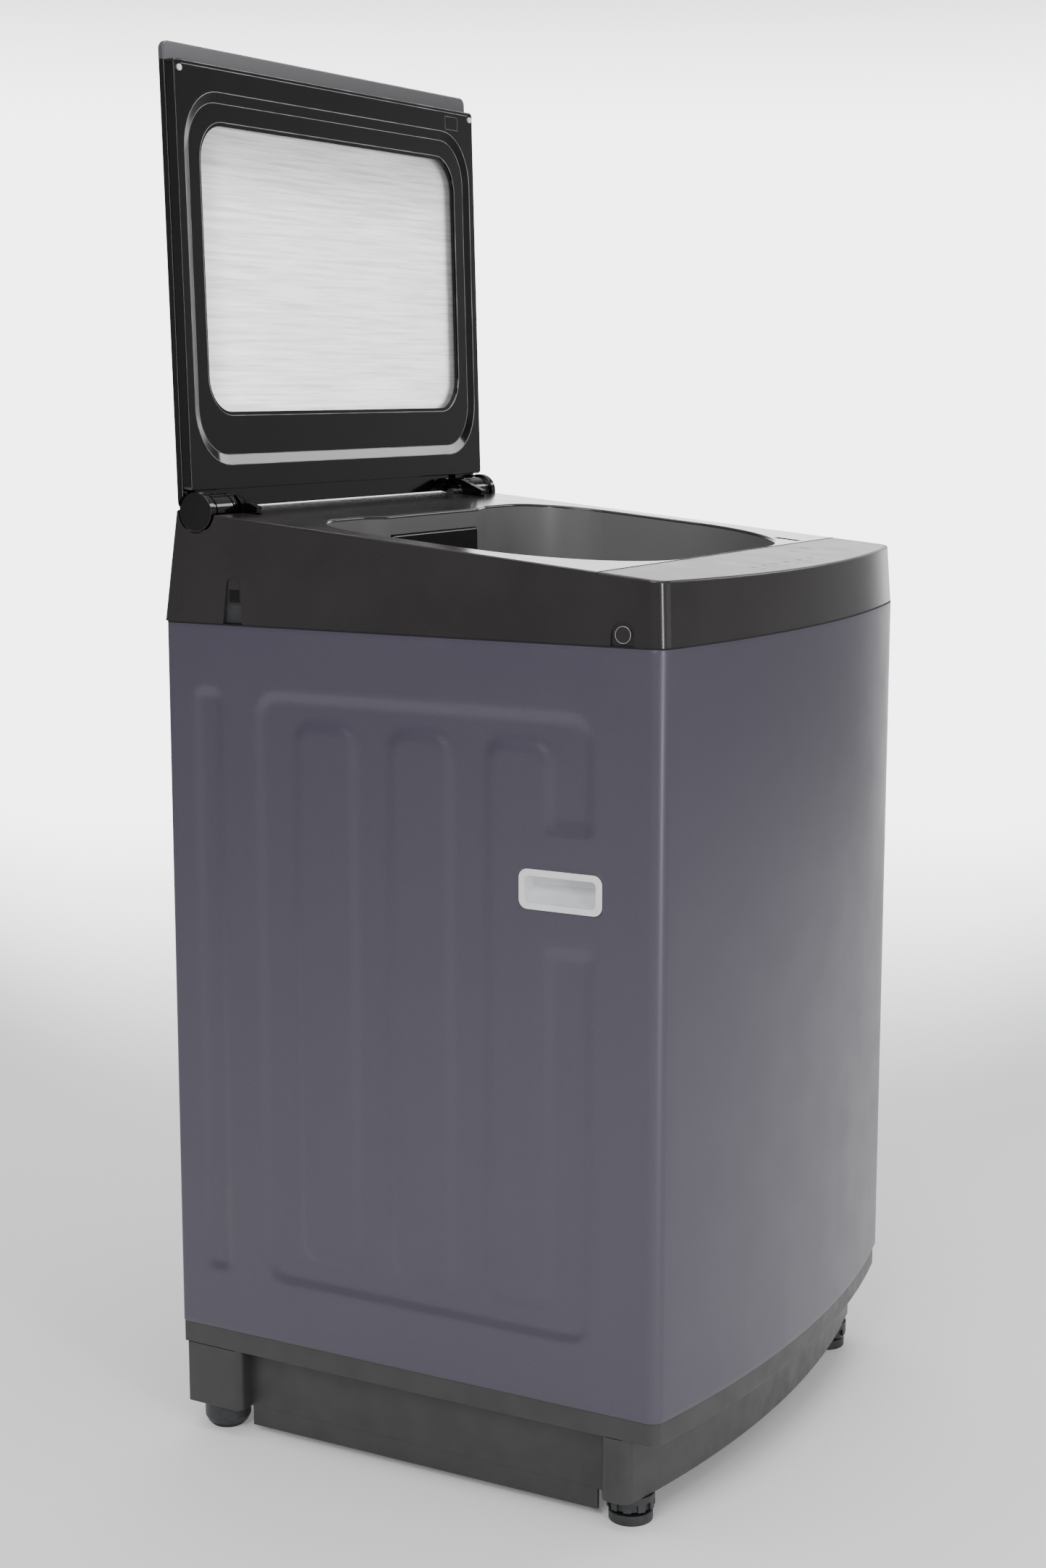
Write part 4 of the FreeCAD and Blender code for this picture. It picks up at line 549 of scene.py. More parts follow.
def new_cord(name, radius):
    """An empty curve whose strokes are round beads of a radius."""
    curve = bpy.data.curves.new(name, "CURVE")
    curve.dimensions = "3D"
    curve.bevel_depth = radius
    curve.bevel_resolution = 1
    return curve


def stroke(curve, spots, closed=False):
    """Add one straight sided stroke through places."""
    spline = curve.splines.new("POLY")
    spline.points.add(len(spots) - 1)
    spline.use_cyclic_u = closed
    for point, spot in zip(spline.points, spots):
        point.co = (*spot, 1.0)


def keep_edges(piece, degrees):
    """Shade edges sharper than an angle as hard edges."""
    piece.data.set_sharp_from_angle(angle=math.radians(degrees))


def as_sheet(piece, thickness, offset):
    """Give a surface the thickness of a sheet."""
    sheet = piece.modifiers.new("steel sheet", "SOLIDIFY")
    sheet.thickness = thickness
    sheet.offset = offset


def refined(node, name, width_mm, segments=2, degrees=35.0):
    """A frame part's surface with its facets joined and its sharp edges rounded over."""
    work = bmesh.new()
    work.from_mesh(frame["nodes"][node].data)
    bmesh.ops.remove_doubles(work, verts=work.verts, dist=0.004 * MM)
    bmesh.ops.dissolve_limit(work, angle_limit=math.radians(0.3), verts=work.verts,
                             edges=work.edges)
    piece = as_piece(name, work)
    normals = piece.data.attributes.get("custom_normal")
    if normals:
        piece.data.attributes.remove(normals)
    bevel = piece.modifiers.new("rounded edges", "BEVEL")
    bevel.width = width_mm * MM
    bevel.segments = segments
    bevel.limit_method = "ANGLE"
    bevel.angle_limit = math.radians(degrees)
    bevel.harden_normals = True
    bevel.use_clamp_overlap = True
    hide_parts(node)
    return settle(piece, finishes[slot_of(node)], body_of(node))


def keep(*nodes):
    """Leave frame parts as they are, with their finish."""
    for node in nodes:
        mesh = frame["nodes"][node].data
        mesh.materials.clear()
        mesh.materials.append(finishes[slot_of(node)])


def stops(marks, step):
    """Grid lines through every mark, with even steps no wider than step between them."""
    lines = [marks[0]]
    for start, end in zip(marks, marks[1:]):
        count = max(1, math.ceil((end - start) / step - 1e-6))
        lines += [start + (end - start) * index / count for index in range(1, count + 1)]
    return lines


def smooth(value, start, end):
    """0 before start, 1 after end, and a soft S between them."""
    share = min(1.0, max(0.0, (value - start) / (end - start)))
    return share * share * (3.0 - 2.0 * share)


def outside_rect(u, v, low_u, high_u, low_v, high_v, radius):
    """Distance outside a rounded rectangle, negative inside it."""
    du = abs(u - (low_u + high_u) / 2.0) - (high_u - low_u) / 2.0 + radius
    dv = abs(v - (low_v + high_v) / 2.0) - (high_v - low_v) / 2.0 + radius
    return math.hypot(max(du, 0.0), max(dv, 0.0)) + min(max(du, dv), 0.0) - radius


# ---- Cabinet ------------------------------------------------------------------
def side_press(y, z):
    """How deep one side wall is pressed in at a place.

    A framed field holds three raised ribs and a raised pad round the grip, with a narrow channel
    behind it.
    """
    shell = bpy.context.scene.washer_shell
    low = CABINET_LOW + shell.press_margin
    high = CABINET_HIGH - shell.press_margin
    front, rear = -shell.press_front, shell.press_rear
    rib_rear = rear - shell.rib_side
    pitch = (rib_rear - front) / RIBS
    raised = [(rib_rear - index * pitch - shell.rib_width, rib_rear - index * pitch,
               low + shell.rib_end, high - shell.rib_end, 12.0 * MM) for index in range(RIBS)]
    pad_low = CABINET_LOW + shell.pad_rise
    raised.append((front - 30.0 * MM, rib_rear - (RIBS - 1) * pitch - 4.0 * MM,
                   pad_low, pad_low + shell.pad_height, 14.0 * MM))

    def pressed(distance):
        """Share of the full depth, at a distance past an edge."""
        return smooth(distance, 0.0, shell.press_edge)

    field = pressed(-outside_rect(y, z, front, rear, low, high, 28.0 * MM))
    for shape in raised:
        field = min(field, pressed(outside_rect(y, z, *shape)))
    channel_front = rear + shell.channel_gap
    channel = outside_rect(y, z, channel_front, channel_front + shell.channel_width, low, high,
                           14.0 * MM)
    return shell.press_depth * max(field, pressed(-channel))


def half_plan():
    """Left half of the shell's outline, rear to front, as (place, outward direction, on side)."""
    shell = bpy.context.scene.washer_shell
    radius = shell.corner_radius
    bow_radius = (HALF_WIDTH ** 2 + shell.front_bow ** 2) / (2.0 * shell.front_bow)
    bow_y = FRONT + bow_radius
    centre_x = -HALF_WIDTH + radius
    centre_y = bow_y - math.sqrt((bow_radius - radius) ** 2 - centre_x ** 2)
    turn = math.atan2(centre_y - bow_y, centre_x) + 2.0 * math.pi
    rear_radius = shell.rear_radius
    rear = high_corner("cabinet").y
    points = []

    def arc(x, y, reach, start, end, steps):
        """Add the outline's places along one bend."""
        for step in steps:
            angle = start + (end - start) * step / steps[-1]
            out = Vector((math.cos(angle), math.sin(angle), 0.0))
            points.append((Vector((x, y, 0.0)) + out * reach, out, False))

    arc(-HALF_WIDTH + rear_radius, rear - rear_radius, rear_radius, math.pi / 2.0, math.pi,
        range(7))
    low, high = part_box("side_handle_left")
    cut = shell.handle_cut
    marks = [rear_radius - rear, cut - high.y, -cut - low.y, -centre_y]
    for mark in stops(marks, shell.grid)[1:]:
        points.append((Vector((-HALF_WIDTH, -mark, 0.0)), Vector((-1.0, 0.0, 0.0)), True))
    arc(centre_x, centre_y, radius, math.pi, turn, range(11)[1:])
    arc(0.0, bow_y, bow_radius, turn, 1.5 * math.pi, range(17)[1:])
    return points


def whole_plan():
    """The shell's outline from its left rear edge round the front to its right rear edge."""
    left = half_plan()
    return left + [(Vector((-spot.x, spot.y, 0.0)), Vector((-out.x, out.y, 0.0)), on_side)
                   for spot, out, on_side in reversed(left[:-1])]


def cabinet_rows():
    """(inset, height) of each row of the wall, from the lower flange to the upper one."""
    shell = bpy.context.scene.washer_shell
    low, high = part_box("side_handle_left")
    cut = shell.handle_cut
    bend = shell.flange_bend
    on_bend = bend * 0.3
    marks = [CABINET_LOW + bend, low.z + cut, high.z - cut, CABINET_HIGH - bend]
    return [(shell.flange, CABINET_LOW), (bend, CABINET_LOW), (on_bend, CABINET_LOW + on_bend),
            *((0.0, z) for z in stops(marks, shell.grid)),
            (on_bend, CABINET_HIGH - on_bend), (bend, CABINET_HIGH), (shell.flange, CABINET_HIGH)]


def build_cabinet():
    """The bent and pressed shell, open at the rear, with holes for the handles."""
    shell = bpy.context.scene.washer_shell
    plan = whole_plan()
    inner_rear = plan[0][0] + Vector((shell.rear_flange, 0.0, 0.0))
    other_rear = Vector((-inner_rear.x, inner_rear.y, 0.0))
    back = Vector((0.0, 1.0, 0.0))
    plan = [(inner_rear, back, False)] + plan + [(other_rear, back, False)]
    hole_low, hole_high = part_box("side_handle_left")
    cut = shell.handle_cut
    work = bmesh.new()
    rows = []
    for inset, z in cabinet_rows():
        row = []
        for spot, out, on_side in plan:
            depth = inset + (side_press(spot.y, z) if on_side and inset == 0.0 else 0.0)
            wall = spot - out * depth
            row.append(work.verts.new((wall.x, wall.y, z)))
        rows.append(row)
    for low, high in zip(rows, rows[1:]):
        for index in range(len(plan) - 1):
            y = (low[index].co.y + low[index + 1].co.y) / 2.0
            z = (low[index].co.z + high[index].co.z) / 2.0
            in_hole = (plan[index][2] and plan[index + 1][2]
                       and hole_low.y + cut < y < hole_high.y - cut
                       and hole_low.z + cut < z < hole_high.z - cut)
            if not in_hole:
                work.faces.new((low[index], low[index + 1], high[index + 1], high[index]))
    loose = [vert for vert in work.verts if not vert.link_faces]
    bmesh.ops.delete(work, geom=loose, context="VERTS")
    bmesh.ops.recalc_face_normals(work, faces=work.faces)
    piece = as_piece("cabinet_shell", work)
    as_sheet(piece, shell.sheet, -1.0)
    keep_edges(piece, 50.0)
    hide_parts("cabinet")
    return settle(piece, finishes["cabinet_paint"], "machine_body")


# ---- Drum ---------------------------------------------------------------------
def build_basket():
    """Rolled drum wall with staggered drain holes and two pressed bands."""
    drum = bpy.context.scene.washer_drum
    low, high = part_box("basket")
    ring_low = low_corner("balance_ring").z
    bands = [low.z + (ring_low - low.z) * share for share in (0.33, 0.66)]
    radius = high.x - 2.0 * MM
    bottom = high_corner("basket_floor").z + 10.0 * MM
    top = ring_low - 14.0 * MM
    around = max(12, round(2.0 * math.pi * radius / drum.hole_pitch))
    count = max(1, round((top - bottom) / drum.hole_pitch))
    step = (top - bottom) / count
    work = bmesh.new()
    made = {}

    def spot(turn, z):
        """A vertex of the wall's grid, made the first time it is asked for."""
        key = (round(turn * 8) % (around * 8), round(z * 1e6))
        if key not in made:
            angle = 2.0 * math.pi * turn / around
            off_band = min(abs(z - band) for band in bands)
            reach = radius + drum.band_height * (1.0 - smooth(off_band, 3.0 * MM, 9.0 * MM))
            made[key] = work.verts.new((reach * math.cos(angle), reach * math.sin(angle), z))
        return made[key]

    def hole_spot(turn, z, index):
        """One of the eight vertices round a drain hole."""
        angle = math.pi / 4.0 * index
        size = drum.hole_size / 2.0
        swing = 2.0 * math.pi * turn / around + size / radius * math.cos(angle)
        return work.verts.new((radius * math.cos(swing), radius * math.sin(swing),
                               z + size * math.sin(angle)))

    # Each cell's rim as (share of a pitch across, share of a step up), in the hole's own order.
    cell = ((0.5, 0.5), (0.5, 1.0), (0.0, 1.0), (-0.5, 1.0),
            (-0.5, 0.5), (-0.5, 0.0), (0.0, 0.0), (0.5, 0.0))
    for row in range(count):
        row_low = bottom + row * step
        for column in range(around):
            turn = column + 0.5 * (row % 2)
            rim = [spot(turn + across, row_low + up * step) for across, up in cell]
            hole = [hole_spot(turn, row_low + step / 2.0, index) for index in range(len(cell))]
            for index in range(len(cell)):
                after = (index + 1) % len(cell)
                work.faces.new((rim[index], rim[after], hole[after], hole[index]))
    for start, end in ((low.z, bottom), (top, high.z)):
        for column in range(around * 2):
            work.faces.new((spot(column / 2.0, start), spot(column / 2.0 + 0.5, start),
                            spot(column / 2.0 + 0.5, end), spot(column / 2.0, end)))
    bmesh.ops.recalc_face_normals(work, faces=work.faces)
    piece = as_piece("basket_wall", work)
    as_sheet(piece, drum.sheet, 0.0)
    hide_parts("basket")
    return settle(piece, finishes["stainless"], body_of("basket"))


# ---- Panel print --------------------------------------------------------------
def on_deck(x, y, lift=0.0):
    """A place on the deck's plane, which falls towards the front from the hinge line."""
    shell = bpy.context.scene.washer_shell
    z = HINGE.z - 0.8 * MM + (y - HINGE.y) * math.tan(shell.deck_slope)
    return Vector((x, y, z + lift))


def printed_line(curve, points, closed=False):
    """Add one stroke through (x, y) places on the deck, most of it sunk in."""
    stroke(curve, [on_deck(x, y, -0.14 * MM) for x, y in points], closed)


def circle_points(x, y, radius, start=0.0, sweep=360.0, count=24):
    """Places along a circle's arc, in degrees."""
    steps = [math.radians(start + sweep * index / count) for index in range(count + 1)]
    return [(x + radius * math.cos(angle), y + radius * math.sin(angle)) for angle in steps]


def build_print():
    """Generic touch marks: a row of small icons with lamps, a power ring and a start ring."""
    curve = new_cord("panel_print", 0.28 * MM)
    icon_y = -268.0 * MM
    icon = 5.0 * MM
    for index, x_mm in enumerate((-92.0, -62.0, -33.0, -8.0, 28.0, 60.0)):
        x = x_mm * MM
        if index % 3 == 0:
            for fall in (0.0, 3.0 * MM):
                printed_line(curve, [(x + icon * (step / 4.0 - 1.0),
                                      icon_y + 1.2 * MM * math.sin(step * math.pi / 2.0) - fall)
                                     for step in range(9)])
        elif index % 3 == 1:
            printed_line(curve, circle_points(x, icon_y, icon * 0.6), True)
            printed_line(curve, [(x, icon_y), (x, icon_y + icon * 0.45)])
        else:
            half = icon * 0.7
            foot = half * 0.7
            printed_line(curve, [(x - half, icon_y + half), (x + half, icon_y + half),
                                 (x + foot, icon_y - half), (x - foot, icon_y - half)], True)
        for lamp_x in (x - 5.0 * MM, x, x + 5.0 * MM):
            printed_line(curve, circle_points(lamp_x, icon_y - 12.0 * MM, 0.7 * MM, count=8), True)
    for x_mm, y_mm in ((101.0, -232.0), (142.0, -229.0)):
        printed_line(curve, circle_points(x_mm * MM, y_mm * MM, 6.0 * MM, 120.0, 300.0))
        printed_line(curve, [(x_mm * MM, (y_mm + 3.0) * MM), (x_mm * MM, (y_mm + 7.5) * MM)])
    return settle_beside(in_scene("panel_print", curve), screen_print(), "control_panel")


# ---- Seams and rims -----------------------------------------------------------
def build_seam():
    """Foam strip between the steel shell and the top cover."""
    plan = whole_plan()
    work = bmesh.new()
    rows = []
    # Rows as (inset from the shell, height over its top), in millimetres: the strip bulges out.
    for inset, rise in ((5.0, -1.6), (0.1, -1.6), (-0.25, -0.8), (0.1, 0.0), (5.0, 0.0)):
        top = Vector((0.0, 0.0, CABINET_HIGH + rise * MM))
        rows.append([work.verts.new(spot - out * inset * MM + top) for spot, out, _ in plan])
    skin(work, rows)
    bmesh.ops.recalc_face_normals(work, faces=work.faces)
    return settle_beside(as_piece("cover_seam_strip", work), dark_seam(), "rear_foot_pads")


def build_panel_seam():
    """The dark joint where the control panel meets the deck."""
    curve = new_cord("panel_seam", 0.6 * MM)
    low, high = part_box("control_panel")
    edge = 3.0 * MM
    printed_line(curve, [(low.x + edge, high.y), (high.x - edge, high.y)])
    return settle_beside(in_scene("panel_seam", curve), dark_seam(), "rear_foot_pads")


def build_cap_rim_highlights():
    """Painted highlight rims round the two screw caps in the cover's sides."""
    curve = new_cord("cap_rim_highlights", 0.45 * MM)
    low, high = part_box("screw_caps")
    middle = (low + high) / 2.0
    radius = (high.z - low.z) / 2.0 - 0.6 * MM
    sink = 0.1 * MM
    rim = circle_points(middle.y, middle.z, radius)[:-1]
    for x in (low.x + sink, high.x - sink):
        stroke(curve, [(x, y, z) for y, z in rim], True)
    return settle_beside(in_scene("cap_rim_highlights", curve), painted_edge_highlight(), "screw_caps")


# ---- Clips and springs --------------------------------------------------------
def build_clip_ramps():
    """Sloping ramps behind the cover's two side clips, which close the recesses below."""
    # The ramp's cut face as (inset from the cabinet's side, height over its top), in millimetres.
    profile = ((5.0, 0.4), (5.0, 21.0), (6.6, 21.0), (6.6, 4.0), (10.0, 0.4))
    middle = REAR - bpy.context.scene.washer_shell.clip_inset
    half_long = 17.0 * MM
    work = bmesh.new()
    for side in (-1.0, 1.0):
        ends = [[work.verts.new((side * (HALF_WIDTH - inset * MM), y, CABINET_HIGH + rise * MM))
                 for inset, rise in profile] for y in (middle - half_long, middle + half_long)]
        work.faces.new(ends[0])
        work.faces.new(reversed(ends[1]))
        skin(work, ends, True)
    bmesh.ops.bevel(work, geom=list(work.edges), offset=0.4 * MM, segments=2, affect="EDGES")
    bmesh.ops.recalc_face_normals(work, faces=work.faces)
    piece = as_piece("clip_ramps", work)
    keep_edges(piece, 35.0)
    return settle(piece, finishes["foot_plastic"], "machine_body")


def build_springs():
    """Coil springs under the tub's lugs, on a mesh of their own."""
    springs = refined("suspension_springs", "coil_springs", 0.1, 1, 80.0)
    springs.modifiers.clear()
    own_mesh(springs)
    return springs


# ---- Lid ----------------------------------------------------------------------
def lid_axes():
    """Normal, up direction and face height of the open lid's inner face."""
    mesh = frame["nodes"]["lid_frame"].data
    areas = {}
    for face in mesh.polygons:
        if face.normal.y < -0.5:
            key = tuple(round(value, 3) for value in face.normal)
            areas[key] = areas.get(key, 0.0) + face.area
    out = Vector(max(areas, key=areas.get)).normalized()
    up = out.cross(Vector((1.0, 0.0, 0.0)))
    height = max((vert.co - HINGE).dot(out) for vert in mesh.vertices)
    return out, up, height


def lid_line(curve, axes, points, depth, closed=True):
    """Add one thin bead through (x, reach from the hinge) places at a depth in the lid's face."""
    out, up, height = axes
    base = HINGE + out * (height - depth - bpy.context.scene.washer_lid.bead_sink)
    spots = [base + up * reach for _, reach in points]
    stroke(curve, [(x, spot.y, spot.z) for (x, _), spot in zip(points, spots)], closed)


def rounded_loop(half, start, end, radius):
    """Places round a rounded rectangle on the lid, ten steps to a corner."""
    right, left = half - radius, radius - half
    top, foot = end - radius, start + radius
    points = []
    for x, reach, first in ((right, top, 0.0), (left, top, 90.0), (left, foot, 180.0),
                            (right, foot, 270.0)):
        points += circle_points(x, reach, radius, first, 90.0, 10)
    return points


def build_lid_highlight_beads():
    """Painted highlight lines round the lid frame's dish, its step, its outer rim and a small pad."""
    lid = bpy.context.scene.washer_lid
    axes = lid_axes()
    vertices = frame["nodes"]["lid_frame"].data.vertices
    end = max((vert.co - HINGE).dot(axes[1]) for vert in vertices)
    half = high_corner("lid_frame").x
    curve = new_cord("lid_edge_highlight_beads", lid.bead)
    dish_half = lid.window_half + lid.window_gap_side
    for inset, depth in ((0.0, 0.0), (lid.dish_bevel, lid.dish_depth)):
        dish = rounded_loop(dish_half - inset, lid.dish_start + inset, end - lid.dish_end - inset,
                            lid.dish_radius - inset)
        lid_line(curve, axes, dish, depth)
    grow = lid.step_grow
    step = rounded_loop(lid.window_half + grow, lid.window_start - grow,
                        end - lid.window_end + grow, lid.window_radius + grow)
    lid_line(curve, axes, step, lid.dish_depth)
    rim_half = half - 12.0 * MM
    for rim in (end - 1.2 * MM, end - 4.5 * MM):
        lid_line(curve, axes, [(-rim_half, rim), (rim_half, rim)], 0.0, False)
    pad_left, pad_right = half - 64.0 * MM, half - 36.0 * MM
    pad_top, pad_foot = end - 9.0 * MM, end - 24.0 * MM
    lid_line(curve, axes, [(pad_left, pad_top), (pad_right, pad_top),
                           (pad_right, pad_foot), (pad_left, pad_foot)], 0.2 * MM)
    return settle_beside(in_scene("lid_edge_highlight_beads", curve), painted_edge_highlight(), "lid_frame")


# ---- Studio -------------------------------------------------------------------
# Each lamp's name, place, target, size and power, in metres and watts.
LAMPS = (
    ("front box", (0.6, -3.8, 1.7), (0.0, 0.0, 0.5), (2.4, 2.0), 10.0),
    ("left box", (-3.2, -0.4, 2.7), (0.0, 0.0, 0.5), (2.0, 1.8), 66.0),
    ("top box", (0.0, -0.2, 3.6), (0.0, 0.0, 0.9), (2.6, 2.6), 75.0),
    ("corner strip", (-1.9, -3.2, 1.0), (-0.25, -0.25, 0.8), (0.3, 2.2), 50.0),
    ("right strip", (3.9, -2.2, 2.85), (0.0, 0.1, 1.1), (2.2, 0.8), 34.0),
)


def area_light(name, spot, target, size, power):
    """A soft box of a size and power, turned towards its target."""
    data = bpy.data.lights.new(name, "AREA")
    data.shape = "RECTANGLE"
    data.size, data.size_y = size
    data.energy = power
    lamp = in_scene(name, data)
    lamp.location = spot
    lamp.rotation_euler = (Vector(target) - Vector(spot)).to_track_quat("-Z", "Y").to_euler()


def build_sweep():
    """A round floor whose rim sweeps up into a wall."""
    look = bpy.context.scene.washer_studio
    bend = 2.5
    flat = look.floor_radius - bend
    profile = [(1.5, 0.0), (3.0, 0.0)]
    for angle in (math.radians(10.0 * step) for step in range(10)):
        profile.append((flat + bend * math.sin(angle), bend - bend * math.cos(angle)))
    profile.append((look.floor_radius, look.wall_height))
    work = bmesh.new()
    rows = [[work.verts.new((x, y, z)) for x, y in circle_points(0.0, 0.0, radius, count=96)[:-1]]
            for radius, z in profile]
    work.faces.new(rows[0])
    # The rows run inwards, so that the faces look up and in.
    skin(work, rows[::-1], True)
    sweep = as_piece("studio_sweep", work)
    sweep.data.materials.append(studio_paper().material)
    return sweep


def build_camera():
    """The camera, to the front left of the machine."""
    look = bpy.context.scene.washer_studio
    data = bpy.data.cameras.new("camera")
    data.lens = look.lens
    data.sensor_fit = "AUTO"
    data.sensor_width = 36.0
    data.clip_end = 200.0
    camera = in_scene("camera", data)
    camera.location = look.view_from
    azimuth = look.view_azimuth
    rise = look.view_elevation
    back = Vector((math.sin(azimuth) * math.cos(rise), -math.cos(azimuth) * math.cos(rise),
                   math.sin(rise)))
    camera.rotation_euler = (-back).to_track_quat("-Z", "Y").to_euler()
    bpy.context.scene.camera = camera


def build_world():
    """An even pale light from all round."""
    world = bpy.data.worlds.new("studio")
    world.use_nodes = True
    backdrop = world.node_tree.nodes["Background"]
    backdrop.inputs["Color"].default_value = (1.0, 1.0, 1.0, 1.0)
    backdrop.inputs["Strength"].default_value = bpy.context.scene.washer_studio.ambient
    bpy.context.scene.world = world


# ---- Settings -----------------------------------------------------------------
def length(name, description, default):
    """A setting for a size, in metres."""
    return bpy.props.FloatProperty(name=name, description=description, default=default, min=0.0,
                                   unit="LENGTH")


def angle_setting(name, description, degrees):
    """A setting for an angle."""
    return bpy.props.FloatProperty(name=name, description=description,
                                   default=math.radians(degrees), unit="ROTATION")


def amount(name, description, default):
    """A setting for a plain number."""
    return bpy.props.FloatProperty(name=name, description=description, default=default)


class WASHER_PG_finishes(bpy.types.PropertyGroup):
    cabinet: bpy.props.FloatVectorProperty(
        name="Cabinet", description="Colour of the cabinet's enamel", size=4, min=0.0, max=1.0,
        subtype="COLOR", default=linear("464350"))


class WASHER_PG_shell(bpy.types.PropertyGroup):
    press_depth: length("Press depth", "Depth of the pattern pressed into the side walls",
                        3.0 * MM)
    press_edge: length("Press edge", "Width of a pressing's sloping edge", 12.0 * MM)
    press_margin: length("Press margin", "Shell's top or foot to the pressings", 65.0 * MM)
    press_front: length("Press front", "Middle of the machine to the field's front", 200.5 * MM)
    press_rear: length("Press rear", "Middle of the machine to the field's rear", 192.5 * MM)
    channel_gap: length("Channel gap", "Field to the channel behind it", 38.0 * MM)
    channel_width: length("Channel width", "Width of the channel", 39.0 * MM)
    rib_side: length("Rib side", "Field's rear to its last raised rib", 57.0 * MM)
    rib_width: length("Rib width", "Width of a raised rib", 56.0 * MM)
    rib_end: length("Rib end", "Field's top or foot to a rib's end", 40.0 * MM)
    pad_rise: length("Pad rise", "Shell's foot to the raised pad round the grip", 468.0 * MM)
    pad_height: length("Pad height", "Height of that pad", 111.0 * MM)
    sheet: length("Sheet", "Thickness of the shell's steel", 1.2 * MM)
    flange: length("Flange", "Width of the shell's flanges at its top and foot", 14.0 * MM)
    flange_bend: length("Flange bend", "Bend of the shell into those flanges", 2.0 * MM)
    rear_flange: length("Rear flange", "Width of the shell's flanges at its rear", 24.0 * MM)
    rear_radius: length("Rear radius", "Bend of the shell at its rear corners", 5.0 * MM)
    front_bow: length("Front bow", "How far the front swells past its corners", 34.0 * MM)
    corner_radius: length("Corner radius", "Bend of the shell at its front corners", 16.0 * MM)
    grid: length("Grid", "Widest mesh cell on the side walls", 4.5 * MM)
    handle_cut: length("Handle cut", "How far the hole lies inside the handle's lip", 3.0 * MM)
    deck_slope: angle_setting("Deck slope", "Fall of the deck towards the front", 5.34)
    clip_inset: length("Clip inset", "Cover's rear to the side clip", 87.0 * MM)
    # The throat settings bound the band of the throat's wall that is painted paler as painted light; the satin
    # named here is that painted light.
    throat_side: length("Throat side", "Cover's side to the throat's satin wall", 36.0 * MM)
    throat_front: length("Throat front", "Cover's front to the throat", 72.0 * MM)
    throat_rear: length("Throat rear", "Cover's rear to the throat", 132.0 * MM)
    throat_rim: length("Throat rim", "Depth where the satin starts", 3.0 * MM)
    throat_depth: length("Throat depth", "Depth where the satin ends", 300.0 * MM)


class WASHER_PG_lid(bpy.types.PropertyGroup):
    # The bead settings shape the thin lines of painted highlight round the lid's edges.
    bead: length("Bead", "Radius of a burnished edge line", 0.5 * MM)
    bead_sink: length("Bead sink", "How deep an edge line sits", 0.25 * MM)
    dish_start: length("Dish start", "Hinge line to the dish", 46.0 * MM)
    dish_end: length("Dish end", "Dish to the frame's free edge", 27.0 * MM)
    dish_radius: length("Dish radius", "Corner radius of the dish", 60.0 * MM)
    dish_bevel: length("Dish bevel", "Width of the dish's sloping rim", 10.5 * MM)
    dish_depth: length("Dish depth", "Depth of the dish", 3.5 * MM)
    window_half: length("Window half width", "Half the glass opening's width",
                        high_corner("lid_window").x - 9.0 * MM)
    window_gap_side: length("Dish side", "Glass opening to the dish's outline", 33.5 * MM)
    window_start: length("Window start", "Hinge line to the glass opening", 101.0 * MM)
    window_end: length("Window end", "Glass opening to the frame's free edge", 60.0 * MM)
    window_radius: length("Window radius", "Corner radius of the glass opening", 37.0 * MM)
    step_grow: length("Step", "Glass opening to the step round it", 4.0 * MM)


class WASHER_PG_drum(bpy.types.PropertyGroup):
    hole_pitch: length("Hole pitch", "Distance between the drum's drain holes", 15.0 * MM)
    hole_size: length("Hole size", "Width of one drain hole", 4.0 * MM)
    band_height: length("Band height", "How far a pressed band swells", 1.8 * MM)
    sheet: length("Drum sheet", "Thickness of the drum's steel", 1.0 * MM)


class WASHER_PG_studio(bpy.types.PropertyGroup):
    floor_colour: bpy.props.FloatVectorProperty(
        name="Floor", description="Colour of the studio paper", size=4, min=0.0, max=1.0,
        subtype="COLOR", default=linear("f6f6f6"))
    floor_radius: length("Floor radius", "Reach of the studio floor", 9.0)
    wall_height: length("Wall height", "Height of the sweep's wall", 6.0)
    backdrop: amount("Backdrop", "Brightness of the sweep's lit side", 4.6)
    floor_glow: amount("Floor glow", "Brightness of the paper under the machine", 0.12)
    dim_share: amount("Dim side", "Share of the backdrop's brightness on its other sides", 0.05)
    lit_core: angle_setting("Lit core", "Half the angle that is lit in full", 17.0)
    lit_half: angle_setting("Lit side", "Half the angle that is lit at all", 36.0)
    ambient: amount("Ambient", "Brightness of the open ceiling", 0.4)
    lens: amount("Lens", "Focal length in millimetres", 56.12)
    view_from: bpy.props.FloatVectorProperty(
        name="View from", description="Where the camera stands", subtype="TRANSLATION",
        unit="LENGTH", default=(-2.337, -1.2493, 1.1297))
    view_azimuth: angle_setting("View azimuth", "Which way round the machine the camera stands",
                                -61.04)
    view_elevation: angle_setting("View elevation", "How far the camera looks down", 9.32)


# ---- Operators ----------------------------------------------------------------
class WASHER_OT_finishes(bpy.types.Operator):
    """Make one material for each finish"""
    bl_idname = "washer.finishes"
    bl_label = "Finishes"

    def execute(self, context):
        finishes.update(finish_of_slot())
        return {"FINISHED"}


class WASHER_OT_cabinet(bpy.types.Operator):
    """Build the pressed steel cabinet with its rear plate, screws and handles"""
    bl_idname = "washer.cabinet"
    bl_label = "Cabinet"

    def execute(self, context):
        build_cabinet()
        refined("rear_cover", "rear_plate", 0.5, 2)
        refined("side_handle_left", "grip_cup_left", 0.5, 3)
        refined("side_handle_right", "grip_cup_right", 0.5, 3)
        keep("rear_cover_screws")
        return {"FINISHED"}


